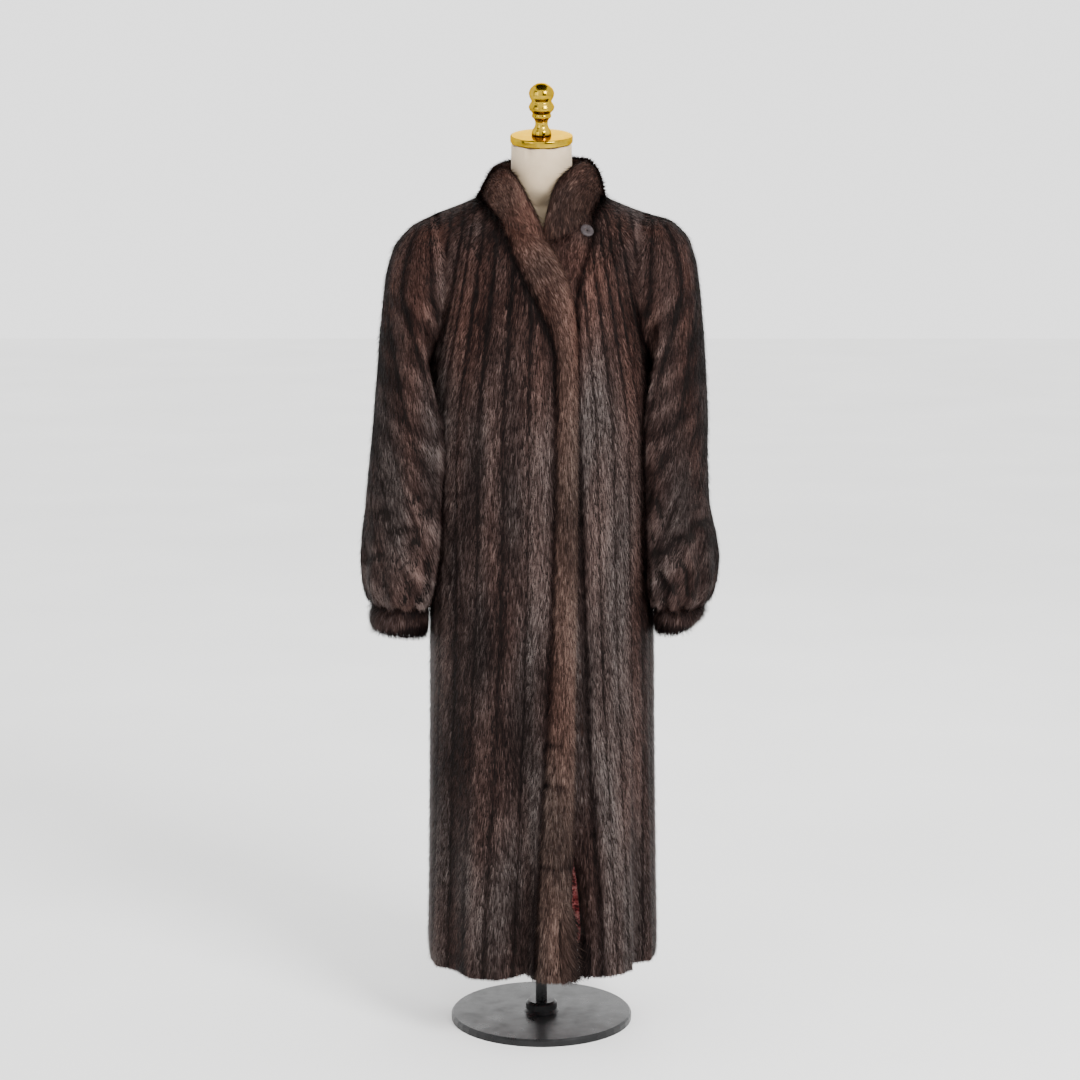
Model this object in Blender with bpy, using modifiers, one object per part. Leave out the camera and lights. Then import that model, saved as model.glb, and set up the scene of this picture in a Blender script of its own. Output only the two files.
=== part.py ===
"""A full-length mink coat standing on a limbless dress form.

Metres, +Z up, the front of the coat faces -Y and the wearer's right is -X.
The origin is the middle of the stand's underside.

The coat is one surface of let-out fur strips, cut into its pieces along the
seams: every piece is a wall with strips raised in its outer points over a
plain inside. Where the walls rest against each other they are kept clear.
"""

from collections import namedtuple
from math import cos, pi, radians, sin, tan

import bmesh
import bpy
import numpy as np
from mathutils import Matrix, Vector

# ---- driving dimensions -------------------------------------------------

HEM_HEIGHT = 0.120          # hem above the floor
WALL = 0.012                # pelt and fur together
BORDER_WALL = 0.013         # fur border, folded over
COLLAR_WALL = 0.020         # collar, fur on both faces
HEM_ROUNDING = 0.008        # height of the rounded hem edge
SEAM = 0.0003               # space between two pieces at a seam
ARMHOLE_SEAM = 0.0007       # the same round an armhole, where the walls twist
NECK_SEAM = 0.0009          # and where the collar's seams meet at a corner
STRIP_WIDTH_STEPS = 2       # wall steps across one fur strip
FRONT_STRIPS = 7            # fur strips in each front
BACK_STRIPS = 14            # fur strips in the back
STRIP_GROOVE = 0.0028       # how far the seam between two strips lies in
RIGHT_LAP = 0.007           # the right front lies out over the left one
LEFT_LAP = 0.0085           # the left front lies in under the right one
LAP_RUN = 0.62              # part of a front's breadth over which its lap fades
BORDER_CROWN = 0.004        # the rolled right border stands out in its middle
LEFT_CROWN = 0.0004         # the left one is pressed flat
HEM_IN = 0.0036             # the rounded hem's edge lies this far in
INSIDE_EASE = 0.6           # part of that on the wall's inside
LEVEL_POINTS = 181          # points in which each level is worked out
PAST_MIDDLE = 0.8           # part of a half level that a front can reach past the middle

NECK_RADIUS = 0.0485
CAP_RADIUS = 0.050
CAP_THICKNESS = 0.012
CAP_EDGE = 0.0015           # its edges are eased
CAP_HEIGHT = 1.458          # middle of the brass plate's upper face
NECK_SLANT = radians(11)    # the plate tips forward
FINIAL_HEIGHT = 0.083
POLE_RADIUS = 0.0095
BASE_RADIUS = 0.150
BASE_THICKNESS = 0.012
BASE_EDGE = 0.003
HUB_RADIUS = 0.026
HUB_TOP = 0.030
HUB_EDGE = 0.004
BUTTON_RADIUS = 0.011
COLLECTION = "fur_coat"

# ---- the coat's cut -----------------------------------------------------

Level = namedtuple("Level", "height half_width front back squareness")
SKIRT = (
    Level(HEM_HEIGHT, 0.1900, 0.172, 0.166, 2.60),
    Level(HEM_HEIGHT + HEM_ROUNDING, 0.1898, 0.172, 0.166, 2.60),
    Level(0.190, 0.1880, 0.169, 0.162, 2.58),
    Level(0.280, 0.1865, 0.165, 0.157, 2.55),
    Level(0.380, 0.1850, 0.160, 0.152, 2.50),
    Level(0.490, 0.1835, 0.156, 0.148, 2.45),
    Level(0.610, 0.1825, 0.152, 0.144, 2.40),
    Level(0.730, 0.1815, 0.149, 0.141, 2.38),
    Level(0.850, 0.1810, 0.147, 0.139, 2.35),
    Level(0.970, 0.1815, 0.147, 0.138, 2.33),
    Level(1.088, 0.1830, 0.150, 0.139, 2.30),
)

# Above the underarm each level rises from the middle to the armhole or to
# the shoulder seam. round is degrees round the armhole, 180 at the underarm
# and 0 at the shoulder; along is the way up the shoulder seam to the neck.
Yoke = namedtuple("Yoke", "front_height front back_height back round along fullness squareness")
YOKE = (
    Yoke(1.114, 0.1500, 1.114, 0.1395, 150, 0.0, 82, 2.25),
    Yoke(1.142, 0.1490, 1.146, 0.1395, 120, 0.0, 74, 2.20),
    Yoke(1.171, 0.1465, 1.183, 0.1380, 90, 0.0, 68, 2.15),
    Yoke(1.200, 0.1420, 1.222, 0.1345, 60, 0.0, 66, 2.10),
    Yoke(1.228, 0.1350, 1.262, 0.1280, 30, 0.0, 70, 2.05),
    Yoke(1.251, 0.1250, 1.300, 0.1170, 0, 0.0, 80, 2.00),
    Yoke(1.277, 0.1110, 1.338, 0.0980, 0, 0.5, 86, 2.00),
    Yoke(1.302, 0.0980, 1.368, 0.0760, 0, 1.0, 88, 2.00),
)
ARMHOLE_TOP = (0.165, 0.000, 1.336)
ARMHOLE_BOTTOM = (0.183, 0.000, 1.088)
ARMHOLE_DEPTH = 0.087       # half its breadth from front to back
ARMHOLE_FRONT_IN = 0.026    # how far its front edge lies towards the middle
ARMHOLE_BACK_IN = 0.014
NECK_POINT = (0.100, 0.004, 1.362)

# Seams and free edges of the two front borders, by height.
Edge = namedtuple("Edge", "height seam free")
RIGHT_BORDER = (
    Edge(0.120, -0.010, 0.054),
    Edge(0.210, -0.006, 0.048),
    Edge(0.380, 0.002, 0.053),
    Edge(0.540, 0.010, 0.053),
    Edge(0.700, 0.018, 0.055),
    Edge(0.900, 0.021, 0.057),
    Edge(1.088, 0.023, 0.056),
    Edge(1.142, 0.018, 0.055),
    Edge(1.200, -0.007, 0.048),
    Edge(1.251, -0.036, 0.032),
    Edge(1.302, -0.060, 0.004),
)
LEFT_BORDER = (
    Edge(0.120, 0.098, 0.063),
    Edge(0.210, 0.095, 0.062),
    Edge(0.300, 0.090, 0.056),
    Edge(0.420, 0.082, 0.044),
    Edge(0.600, 0.074, 0.032),
    Edge(0.850, 0.066, 0.022),
    Edge(1.088, 0.058, 0.012),
    Edge(1.171, 0.055, 0.008),
    Edge(1.232, 0.062, 0.006),
    Edge(1.270, 0.078, 0.005),
    Edge(1.302, 0.087, 0.003),
)

# Deep flutes in the skirt, by the way round: 0 in front, 90 on the wearer's
# left, 180 behind. reach is out, or in where it is less than nothing.
Flute = namedtuple("Flute", "round half_width reach top")
FLUTES = (
    Flute(-84, 13, -0.0030, 1.00),
    Flute(-62, 11, 0.0030, 0.60),
    Flute(-50, 9, -0.0120, 0.70),
    Flute(-33, 13, 0.0080, 0.90),
    Flute(-11, 9, -0.0420, 0.95),
    Flute(6, 8, 0.0070, 0.60),
    Flute(20, 6, -0.0200, 0.55),
    Flute(38, 13, 0.0080, 0.70),
    Flute(60, 9, -0.0260, 0.60),
    Flute(84, 13, 0.0030, 1.00),
    Flute(104, 12, -0.0140, 0.70),
    Flute(125, 13, 0.0080, 0.80),
    Flute(146, 11, -0.0180, 0.75),
    Flute(165, 12, 0.0080, 0.80),
    Flute(-176, 10, -0.0160, 0.70),
    Flute(-156, 12, 0.0080, 0.80),
    Flute(-133, 11, -0.0180, 0.85),
    Flute(-112, 12, 0.0070, 0.80),
)

# The collar's upper edge, by the way along from the right front edge (0)
# round the neck (0.5 is the middle of the back) to the left front edge (1).
Rim = namedtuple("Rim", "along x y z")
COLLAR_RIM = (
    Rim(0.06, -0.009, -0.086, 1.333),
    Rim(0.12, -0.025, -0.073, 1.364),
    Rim(0.18, -0.041, -0.055, 1.394),
    Rim(0.25, -0.056, -0.030, 1.409),
    Rim(0.33, -0.063, 0.006, 1.413),
    Rim(0.41, -0.048, 0.046, 1.417),
    Rim(0.50, 0.002, 0.070, 1.419),
    Rim(0.59, 0.050, 0.048, 1.420),
    Rim(0.67, 0.067, 0.010, 1.421),
    Rim(0.74, 0.068, -0.018, 1.421),
    Rim(0.80, 0.056, -0.038, 1.414),
    Rim(0.86, 0.040, -0.053, 1.402),
    Rim(0.91, 0.025, -0.064, 1.382),
    Rim(0.955, 0.014, -0.073, 1.350),
)
ACROSS = (0.0, 0.22, 0.50, 0.78, 1.0)      # steps across border and collar
EDGE_THINNING = 0.55        # part of the thickness lost at a rolled edge
COLLAR_ROLL = 0.006         # the collar's outer face stands out in its middle
ROLL_SHAPE = 0.8            # below 1 the roll is fuller
ROLL_INSIDE = 0.5           # part of the roll that the collar's inside has
COLLAR_SWELLS = 0.10        # part of its length in which it reaches its thickness
NECK_TURN = 0.5             # part of a front's neckline that turns up into the collar
NECK_MITRE = 0.9            # how far the neckline's edge leans with it
NECK_DEEPER = 0.25          # and is broader than the wall

# Sleeve sections down the arm. outer and inner are distances from the
# coat's middle line, with their heights; middle is the section's place from
# front to back; lean brings its front part in towards the body.
Section = namedtuple("Section", "outer outer_z inner inner_z middle depth lean gather")
SLEEVE_RIGHT = (
    Section(0.2040, 1.3180, 0.1930, 1.0780, -0.002, 0.090, 0.020, 0.0),
    Section(0.2330, 1.2880, 0.1900, 1.0600, -0.005, 0.092, 0.025, 0.0),
    Section(0.2470, 1.2450, 0.1800, 1.0350, -0.008, 0.092, 0.027, 0.0),
    Section(0.2530, 1.1980, 0.1680, 1.0080, -0.011, 0.091, 0.027, 0.0),
    Section(0.2580, 1.1500, 0.1540, 0.9800, -0.014, 0.090, 0.028, 0.0),
    Section(0.2630, 1.0850, 0.1490, 0.9520, -0.018, 0.089, 0.030, 0.0),
    Section(0.2690, 1.0150, 0.1470, 0.9200, -0.021, 0.088, 0.030, 0.0),
    Section(0.2760, 0.9450, 0.1480, 0.8860, -0.024, 0.087, 0.030, 0.0),
    Section(0.2830, 0.8770, 0.1500, 0.8480, -0.027, 0.086, 0.030, 0.0),
    Section(0.2890, 0.8180, 0.1550, 0.8060, -0.029, 0.085, 0.028, 0.0015),
    Section(0.2915, 0.7780, 0.1590, 0.7720, -0.031, 0.081, 0.026, 0.0030),
    Section(0.2880, 0.7460, 0.1630, 0.7420, -0.032, 0.074, 0.022, 0.0040),
    Section(0.2810, 0.7220, 0.1700, 0.7200, -0.033, 0.063, 0.014, 0.0040),
    Section(0.2710, 0.7100, 0.1790, 0.7100, -0.033, 0.051, 0.006, 0.0020),
)
SLEEVE_LEFT = (
    Section(0.2040, 1.3260, 0.1930, 1.0780, -0.002, 0.090, 0.020, 0.0),
    Section(0.2320, 1.3020, 0.1900, 1.0600, -0.005, 0.092, 0.025, 0.0),
    Section(0.2460, 1.2630, 0.1800, 1.0350, -0.008, 0.092, 0.027, 0.0),
    Section(0.2530, 1.2150, 0.1680, 1.0080, -0.011, 0.091, 0.027, 0.0),
    Section(0.2580, 1.1620, 0.1580, 0.9800, -0.014, 0.090, 0.026, 0.0),
    Section(0.2630, 1.0920, 0.1580, 0.9520, -0.018, 0.089, 0.025, 0.0),
    Section(0.2670, 1.0180, 0.1600, 0.9200, -0.021, 0.088, 0.024, 0.0),
    Section(0.2670, 0.9450, 0.1620, 0.8860, -0.024, 0.087, 0.024, 0.0),
    Section(0.2700, 0.8750, 0.1640, 0.8480, -0.027, 0.087, 0.024, 0.0),
    Section(0.2800, 0.8260, 0.1650, 0.8060, -0.030, 0.087, 0.024, 0.0015),
    Section(0.2860, 0.7880, 0.1660, 0.7720, -0.033, 0.084, 0.022, 0.0030),
    Section(0.2830, 0.7520, 0.1680, 0.7420, -0.035, 0.077, 0.018, 0.0040),
    Section(0.2740, 0.7240, 0.1720, 0.7200, -0.036, 0.066, 0.012, 0.0040),
    Section(0.2620, 0.7100, 0.1790, 0.7100, -0.036, 0.053, 0.006, 0.0020),
)
SLEEVE_ANGLES = [180 - 15 * step for step in range(24)]   # from the underarm up the front
BACK_LEAN = 0.4             # part of the lean that a sleeve's back part has
GATHERS = 12                # gathers round the lower end of a sleeve
SLEEVE_EASING = 12          # times that the inside's rings are evened out
BODY_CLEARANCE = 0.0030     # a sleeve hangs this far clear of the body
SIDE_FLUTE = 0.003          # the most that a flute carries the side out
YOKE_TOP = 1.222            # height up to which a sleeve can touch the body

# Slanting folds in a sleeve: way round it (0 outer side, 90 front), height
# of the middle, rise over the way round, half width, and reach inwards.
Fold = namedtuple("Fold", "round height rise half_width reach spread")
SLEEVE_FOLDS = (
    Fold(60, 0.800, 0.060, 0.022, -0.0060, 95),
    Fold(80, 0.860, 0.075, 0.024, -0.0050, 90),
    Fold(70, 0.960, 0.080, 0.026, -0.0040, 90),
    Fold(250, 0.830, 0.050, 0.024, -0.0050, 90),
    Fold(240, 0.950, 0.060, 0.026, -0.0040, 90),
)

Cuff = namedtuple("Cuff", "height outer inner middle depth")
CUFF_RIGHT = (
    Cuff(0.7100, 0.2710, 0.1790, -0.033, 0.051),
    Cuff(0.6970, 0.2770, 0.1750, -0.033, 0.054),
    Cuff(0.6820, 0.2785, 0.1750, -0.034, 0.055),
    Cuff(0.6680, 0.2775, 0.1755, -0.035, 0.054),
)
CUFF_LEFT = (
    Cuff(0.7100, 0.2620, 0.1790, -0.036, 0.053),
    Cuff(0.6980, 0.2640, 0.1740, -0.038, 0.055),
    Cuff(0.6860, 0.2570, 0.1740, -0.040, 0.055),
    Cuff(0.6740, 0.2470, 0.1760, -0.041, 0.053),
)
CUFF_SLOPE = 0.10           # the cuff's mouth rises towards its outer side

Torso = namedtuple("Torso", "height half_width front back")
TORSO = (
    Torso(0.812, 0.1480, 0.100, 0.100),
    Torso(0.850, 0.1580, 0.110, 0.112),
    Torso(0.920, 0.1600, 0.112, 0.116),
    Torso(0.990, 0.1460, 0.104, 0.104),
    Torso(1.050, 0.1300, 0.098, 0.090),
    Torso(1.120, 0.1420, 0.112, 0.094),
    Torso(1.180, 0.1500, 0.110, 0.102),
    Torso(1.240, 0.1500, 0.090, 0.100),
    Torso(1.285, 0.1440, 0.060, 0.086),
    Torso(1.312, 0.1360, 0.042, 0.070),
)
FORM_STEPS = 32             # faces round the form
# The form's shoulders, which carry the coat's; below is how far they lie
# under the inside of the coat's shoulder seams.
Shoulder = namedtuple("Shoulder", "half_width front back below")
SHOULDERS = (
    Shoulder(0.1220, 0.030, 0.050, 0.0022),
    Shoulder(0.1080, 0.027, 0.046, 0.0024),
    Shoulder(0.0920, 0.027, 0.042, 0.0065),
    Shoulder(0.0740, 0.030, 0.042, 0.0095),
    Shoulder(0.0600, 0.036, 0.044, 0.0080),
)
# the neck: height, radius and slant, the last one at its top
NECK_SECTIONS = (
    (1.3750, 0.0510, 0.0),
    (1.3950, NECK_RADIUS, 0.0),
    (CAP_HEIGHT - CAP_THICKNESS / cos(NECK_SLANT) - SEAM, NECK_RADIUS, NECK_SLANT),
)

# The brass knob, from its top down, by part of its height.
Turn = namedtuple("Turn", "height radius")
FINIAL = (
    Turn(1.000, 0.0), Turn(0.985, 0.0070), Turn(0.945, 0.0130), Turn(0.880, 0.0185),
    Turn(0.800, 0.0205), Turn(0.730, 0.0195), Turn(0.665, 0.0165), Turn(0.640, 0.0160),
    Turn(0.600, 0.0185), Turn(0.540, 0.0208), Turn(0.480, 0.0195), Turn(0.440, 0.0160),
    Turn(0.410, 0.0145), Turn(0.385, 0.0155), Turn(0.345, 0.0155), Turn(0.320, 0.0130),
    Turn(0.270, 0.0105), Turn(0.200, 0.0100), Turn(0.150, 0.0112), Turn(0.090, 0.0148),
    Turn(0.030, 0.0158), Turn(0.000, 0.0158), Turn(0.000, 0.0),
)

# The button, dished in its middle.
BUTTON = (
    Turn(0.0022, 0.0), Turn(0.0022, 0.0030), Turn(0.0036, 0.0045), Turn(0.0040, 0.0075),
    Turn(0.0034, 0.0100), Turn(0.0022, BUTTON_RADIUS), Turn(0.0, 0.0100), Turn(0.0, 0.0),
)

BUTTON_ACROSS = 0.17        # part of the way over the left border from its seam
BUTTON_DOWN = 0.60          # part of the way down the border's uppermost level
BUTTON_OFF = 0.0007         # clear of the fur's highest point under it
BUTTON_SAMPLES = 40         # points each way at which that is looked for
LINING = 0.002
LINING_GAP = 0.0014         # where it is sewn in at its top
LINING_FREE = 0.0032        # where it hangs free at its hem
LINING_SHOWS = 0.017        # how far the lining reaches past the border's edge
LINING_ROWS = 5             # levels of the skirt that it reaches up
LINING_HEM = 0.030          # the lining's hem above the coat's


# ---- working out surfaces ------------------------------------------------

def smooth_value(keys, values, at):
    """A smooth curve through a table's values, with no overshoot."""
    keys = np.asarray(keys, float)
    values = np.asarray(values, float)
    if keys[0] > keys[-1]:
        keys, values = keys[::-1], values[::-1]
    steps = np.diff(keys)
    slopes = np.diff(values) / steps
    tangents = np.zeros(len(keys))
    tangents[0], tangents[-1] = slopes[0], slopes[-1]
    for i in range(1, len(keys) - 1):
        if slopes[i - 1] * slopes[i] > 0:
            tangents[i] = 2 * slopes[i - 1] * slopes[i] / (slopes[i - 1] + slopes[i])
    at = min(max(at, keys[0]), keys[-1])
    i = min(int(np.searchsorted(keys, at, side="right")) - 1, len(steps) - 1)
    u = (at - keys[i]) / steps[i]
    return ((1 + 2 * u) * (1 - u) ** 2 * values[i] + u * (1 - u) ** 2 * steps[i] * tangents[i]
            + u * u * (3 - 2 * u) * values[i + 1] + u * u * (u - 1) * steps[i] * tangents[i + 1])


def column(table, name):
    return [getattr(row, name) for row in table]


def table_value(table, key, name, at):
    return smooth_value(column(table, key), column(table, name), at)


def ease(u):
    u = min(max(u, 0.0), 1.0)
    return u * u * (3 - 2 * u)


def unit(vectors):
    vectors = np.asarray(vectors, float)
    return vectors / np.maximum(np.linalg.norm(vectors, axis=-1, keepdims=True), 1e-12)


def evenly(points, count):
    """The same line again with count + 1 evenly spaced points."""
    lengths = np.concatenate([[0], np.cumsum(np.linalg.norm(np.diff(points, axis=0), axis=1))])
    places = np.linspace(0, lengths[-1], count + 1)
    return np.stack([np.interp(places, lengths, points[:, axis]) for axis in range(3)], axis=1)


def stretch(points, from_x, to_x):
    """The part of a line between two distances across, running that way."""
    order = np.argsort(points[:, 0])
    line = points[order]
    low, high = min(from_x, to_x), max(from_x, to_x)
    inside = line[(line[:, 0] > low + 1e-6) & (line[:, 0] < high - 1e-6)]
    ends = [[x, np.interp(x, line[:, 0], line[:, 1]), np.interp(x, line[:, 0], line[:, 2])]
            for x in (low, high)]
    part = np.vstack([ends[:1], inside, ends[1:]])
    return part if from_x < to_x else part[::-1]


def armhole_point(side, degrees, forward):
    """A point of the armhole: 180 underarm, 90 its front or back, 0 shoulder."""
    turn = radians(degrees)
    up = (1 + cos(turn)) / 2
    shift = ARMHOLE_FRONT_IN if forward else ARMHOLE_BACK_IN
    x = ARMHOLE_BOTTOM[0] + (ARMHOLE_TOP[0] - ARMHOLE_BOTTOM[0]) * up - shift * sin(turn) ** 2
    y = ARMHOLE_DEPTH * sin(turn) * (-1 if forward else 1)
    z = ARMHOLE_BOTTOM[2] + (ARMHOLE_TOP[2] - ARMHOLE_BOTTOM[2]) * up
    return np.array([side * x, y, z])


def armhole_outward(degrees, forward):
    """The direction from the armhole's middle to that point, in its plane."""
    turn = radians(degrees)
    return np.array([0.0, sin(turn) * (-1 if forward else 1), cos(turn)])


def level_count():
    return len(SKIRT) + len(YOKE)


def level_edge(row, side, forward):
    """Where a level ends: at the side seam, armhole or shoulder seam."""
    if row < len(SKIRT):
        level = SKIRT[row]
        return np.array([side * level.half_width, 0.0, level.height])
    yoke = YOKE[row - len(SKIRT)]
    if yoke.along == 0:
        return armhole_point(side, yoke.round, forward)
    top = np.array([side * ARMHOLE_TOP[0], *ARMHOLE_TOP[1:]])
    neck = np.array([side * NECK_POINT[0], *NECK_POINT[1:]])
    return top + (neck - top) * yoke.along


def level_line(row, side, forward):
    """One level of the coat, from past the middle to its edge, finely."""
    edge = level_edge(row, side, forward)
    if row < len(SKIRT):
        level = SKIRT[row]
        height, fullness = level.height, 90
        depth = -level.front if forward else level.back
    else:
        level = YOKE[row - len(SKIRT)]
        height = level.front_height if forward else level.back_height
        depth = -level.front if forward else level.back
        fullness = level.fullness
    full = radians(fullness)
    power = 2 / level.squareness
    points = []
    for turn in np.linspace(-full * PAST_MIDDLE, full, LEVEL_POINTS):
        across = np.sign(turn) * abs(sin(turn) / sin(full)) ** power
        inward = max(0.0, (cos(turn) - cos(full)) / (1 - cos(full))) ** power
        rise = sin(pi / 2 * min(1.0, abs(turn) / full)) ** 2
        points.append([edge[0] * across,
                       edge[1] + (depth - edge[1]) * inward,
                       height + (edge[2] - height) * rise])
    return np.array(points)


def flute_reach(point):
    """How far the skirt's flutes carry a point out."""
    round_degrees = np.degrees(np.arctan2(point[0], -point[1]))
    reach = 0.0
    for flute in FLUTES:
        away = abs((round_degrees - flute.round + 180) % 360 - 180) / flute.half_width
        if away < 1.0 and point[2] < flute.top:
            fade = ease((flute.top - point[2]) / (flute.top - HEM_HEIGHT))
            reach += flute.reach * fade * cos(pi / 2 * away) ** 2
    return reach


def fluted(line):
    moved = line.copy()
    for point in moved:
        outward = point[:2] / np.linalg.norm(point[:2])
        point[:2] += outward * flute_reach(point)
    return moved


def coat_levels():
    """Every level in full, by piece, running from right edge to left edge."""
    pieces = {name: [] for name in
              ("border_right", "front_right", "back", "front_left", "border_left")}
    for row in range(level_count()):
        key = (SKIRT[row].height if row < len(SKIRT) else YOKE[row - len(SKIRT)].front_height)
        steps = FRONT_STRIPS * STRIP_WIDTH_STEPS
        for side, table in ((-1, RIGHT_BORDER), (1, LEFT_BORDER)):
            line = level_line(row, side, True)
            seam = table_value(table, "height", "seam", key)
            free = table_value(table, "height", "free", key)
            border = stretch(line, free, seam)
            lengths = np.linalg.norm(np.diff(border, axis=0), axis=1)
            places = np.concatenate([[0], np.cumsum(lengths)])
            wanted = (1 - np.array(ACROSS[::-1])) * places[-1]
            border = np.stack([np.interp(wanted, places, border[:, axis]) for axis in range(3)], 1)
            front = evenly(stretch(line, seam, line[-1][0]), steps)
            if side < 0:
                pieces["border_right"].append(fluted(border))
                pieces["front_right"].append(fluted(front))
            else:
                pieces["front_left"].append(fluted(front[::-1]))
                pieces["border_left"].append(fluted(border[::-1]))
        right = stretch(level_line(row, -1, False), -abs(level_edge(row, -1, False)[0]), 0.0)
        left = stretch(level_line(row, 1, False), 0.0, abs(level_edge(row, 1, False)[0]))
        back = evenly(np.vstack([right, left[1:]]), BACK_STRIPS * STRIP_WIDTH_STEPS)
        pieces["back"].append(fluted(back))
    return {name: np.array(rows) for name, rows in pieces.items()}


def grid_normals(grid, outward_from=(0.0, 0.0, 0.9)):
    """Unit normals of a grid of points, turned away from a middle point."""
    along = np.gradient(grid, axis=0)
    across = np.gradient(grid, axis=1)
    normals = unit(np.cross(along, across))
    away = grid - np.asarray(outward_from)
    if np.sum(normals * away) < 0:
        normals = -normals
    return normals


# ---- walls ---------------------------------------------------------------

def material(name, colour, roughness, metallic=0.0):
    made = bpy.data.materials.new(name)
    made.use_nodes = True
    shader = made.node_tree.nodes["Principled BSDF"]
    shader.inputs["Base Color"].default_value = (*colour, 1.0)
    shader.inputs["Roughness"].default_value = roughness
    shader.inputs["Metallic"].default_value = metallic
    made.diffuse_color = (*colour, 1.0)
    return made


def new_object(name, mesh, finish):
    made = bpy.data.objects.new(name, mesh)
    mesh.materials.append(finish)
    mesh.shade_smooth()
    bpy.data.collections[COLLECTION].objects.link(made)
    return made


def mesh_from(name, points, faces):
    """A closed mesh from points and faces, with its faces turned outwards."""
    mesh = bpy.data.meshes.new(name)
    mesh.from_pydata([tuple(point) for point in points], [], faces)
    shape = bmesh.new()
    shape.from_mesh(mesh)
    bmesh.ops.recalc_face_normals(shape, faces=shape.faces[:])
    if shape.calc_volume(signed=True) < 0:
        bmesh.ops.reverse_faces(shape, faces=shape.faces[:])
    shape.to_mesh(mesh)
    shape.free()
    return mesh


def wall(name, outer, inner, finish, loop=False):
    """A wall between two grids of points; a loop joins its last column to its first.

    Along each edge the outer and inner points are joined with the diagonal
    always from outer to the next inner one, so two pieces that share a seam
    have the same faces there.
    """
    rows, columns = outer.shape[:2]
    size = rows * columns

    def at(row, col, inside=False):
        return (row * columns + col % columns) + (size if inside else 0)

    faces = []
    spans = columns if loop else columns - 1
    for row in range(rows - 1):
        for col in range(spans):
            low, high = (row, col), (row + 1, col + 1)
            for corners in ((low, (row, col + 1), high), (low, high, (row + 1, col))):
                faces.append([at(*corner) for corner in corners])
                faces.append([at(*corner, inside=True) for corner in reversed(corners)])
    for row in (0, rows - 1):
        for col in range(spans):
            faces.append([at(row, col), at(row, col + 1), at(row, col + 1, True)])
            faces.append([at(row, col), at(row, col + 1, True), at(row, col, True)])
    if not loop:
        for col in (0, columns - 1):
            for row in range(rows - 1):
                faces.append([at(row, col), at(row + 1, col), at(row + 1, col, True)])
                faces.append([at(row, col), at(row + 1, col, True), at(row, col, True)])
    points = np.vstack([outer.reshape(-1, 3), inner.reshape(-1, 3)])
    return new_object(name, mesh_from(name, points, faces), finish)


def draw_in(grid, first_row=0.0, last_row=0.0, first_col=0.0, last_col=0.0):
    """Bring a grid's edges in towards its next points, to leave a seam's space."""
    moved = grid.copy()
    moved[0] += unit(grid[1] - grid[0]) * first_row
    moved[-1] += unit(grid[-2] - grid[-1]) * last_row
    moved[:, 0] += unit(grid[:, 1] - grid[:, 0]) * first_col
    moved[:, -1] += unit(grid[:, -2] - grid[:, -1]) * last_col
    return moved


def lap_offset(side, fraction):
    """How far a front lies out or in at a part of the way from its border."""
    reach = RIGHT_LAP if side < 0 else -LEFT_LAP
    return reach * (1 - ease(fraction / LAP_RUN))


def coat_walls():
    """Outer and inner points of the five pieces of the coat's body."""
    levels = coat_levels()
    normals = {}
    for name, grid in levels.items():
        normals[name] = grid_normals(grid)

    def share(first, first_col, second, second_col):
        """Two pieces have one normal along their seam."""
        meet = np.linalg.norm(levels[first][:, first_col] - levels[second][:, second_col], axis=1) < 1e-6
        both = unit(normals[first][:, first_col] + normals[second][:, second_col])
        normals[first][meet, first_col] = both[meet]
        normals[second][meet, second_col] = both[meet]

    share("border_right", -1, "front_right", 0)
    share("front_right", -1, "back", 0)
    share("back", -1, "front_left", 0)
    share("front_left", -1, "border_left", 0)

    walls = {}
    for name, grid in levels.items():
        rows, columns = grid.shape[:2]
        out = normals[name]
        offset = np.zeros((rows, columns))
        thickness = np.full((rows, columns), WALL)
        groove = np.zeros((rows, columns))
        outward_trim = np.zeros((rows, columns))
        if name.startswith("border"):
            side = -1 if name.endswith("right") else 1
            offset[:] = lap_offset(side, 0.0)
            crown = np.sin(pi * np.array(ACROSS))
            groove[:] = -crown * (BORDER_CROWN if side < 0 else LEFT_CROWN)
            thickness[:] = WALL + (BORDER_WALL - WALL) * crown
            free_col, seam_col = (0, -1) if side < 0 else (-1, 0)
            outward_trim[:, free_col] = BORDER_WALL * EDGE_THINNING / 2
            groove[:, seam_col] = STRIP_GROOVE
        else:
            for col in range(columns):
                if name == "front_right":
                    offset[:, col] = lap_offset(-1, col / (columns - 1))
                if name == "front_left":
                    offset[:, col] = lap_offset(1, 1 - col / (columns - 1))
                if col % STRIP_WIDTH_STEPS == 0:
                    groove[:, col] = STRIP_GROOVE
        # the armhole edges lie on the armhole itself
        for row in range(len(SKIRT) - 1, rows):
            open_edge = row < len(SKIRT) or YOKE[row - len(SKIRT)].along == 0
            if open_edge:
                if name in ("front_right", "back"):
                    groove[row, -1 if name == "front_right" else 0] = 0
                if name in ("front_left", "back"):
                    groove[row, 0 if name == "front_left" else -1] = 0
        # the hem is rounded
        outward_trim[0] = HEM_IN
        lifted = grid + out * offset[..., None]
        outer = lifted - out * (groove + outward_trim)[..., None]
        inner = lifted - out * (thickness - outward_trim * INSIDE_EASE)[..., None]
        walls[name] = [outer, inner]

    set_armhole_edges(walls)
    set_neck_edges(walls)
    return walls


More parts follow.
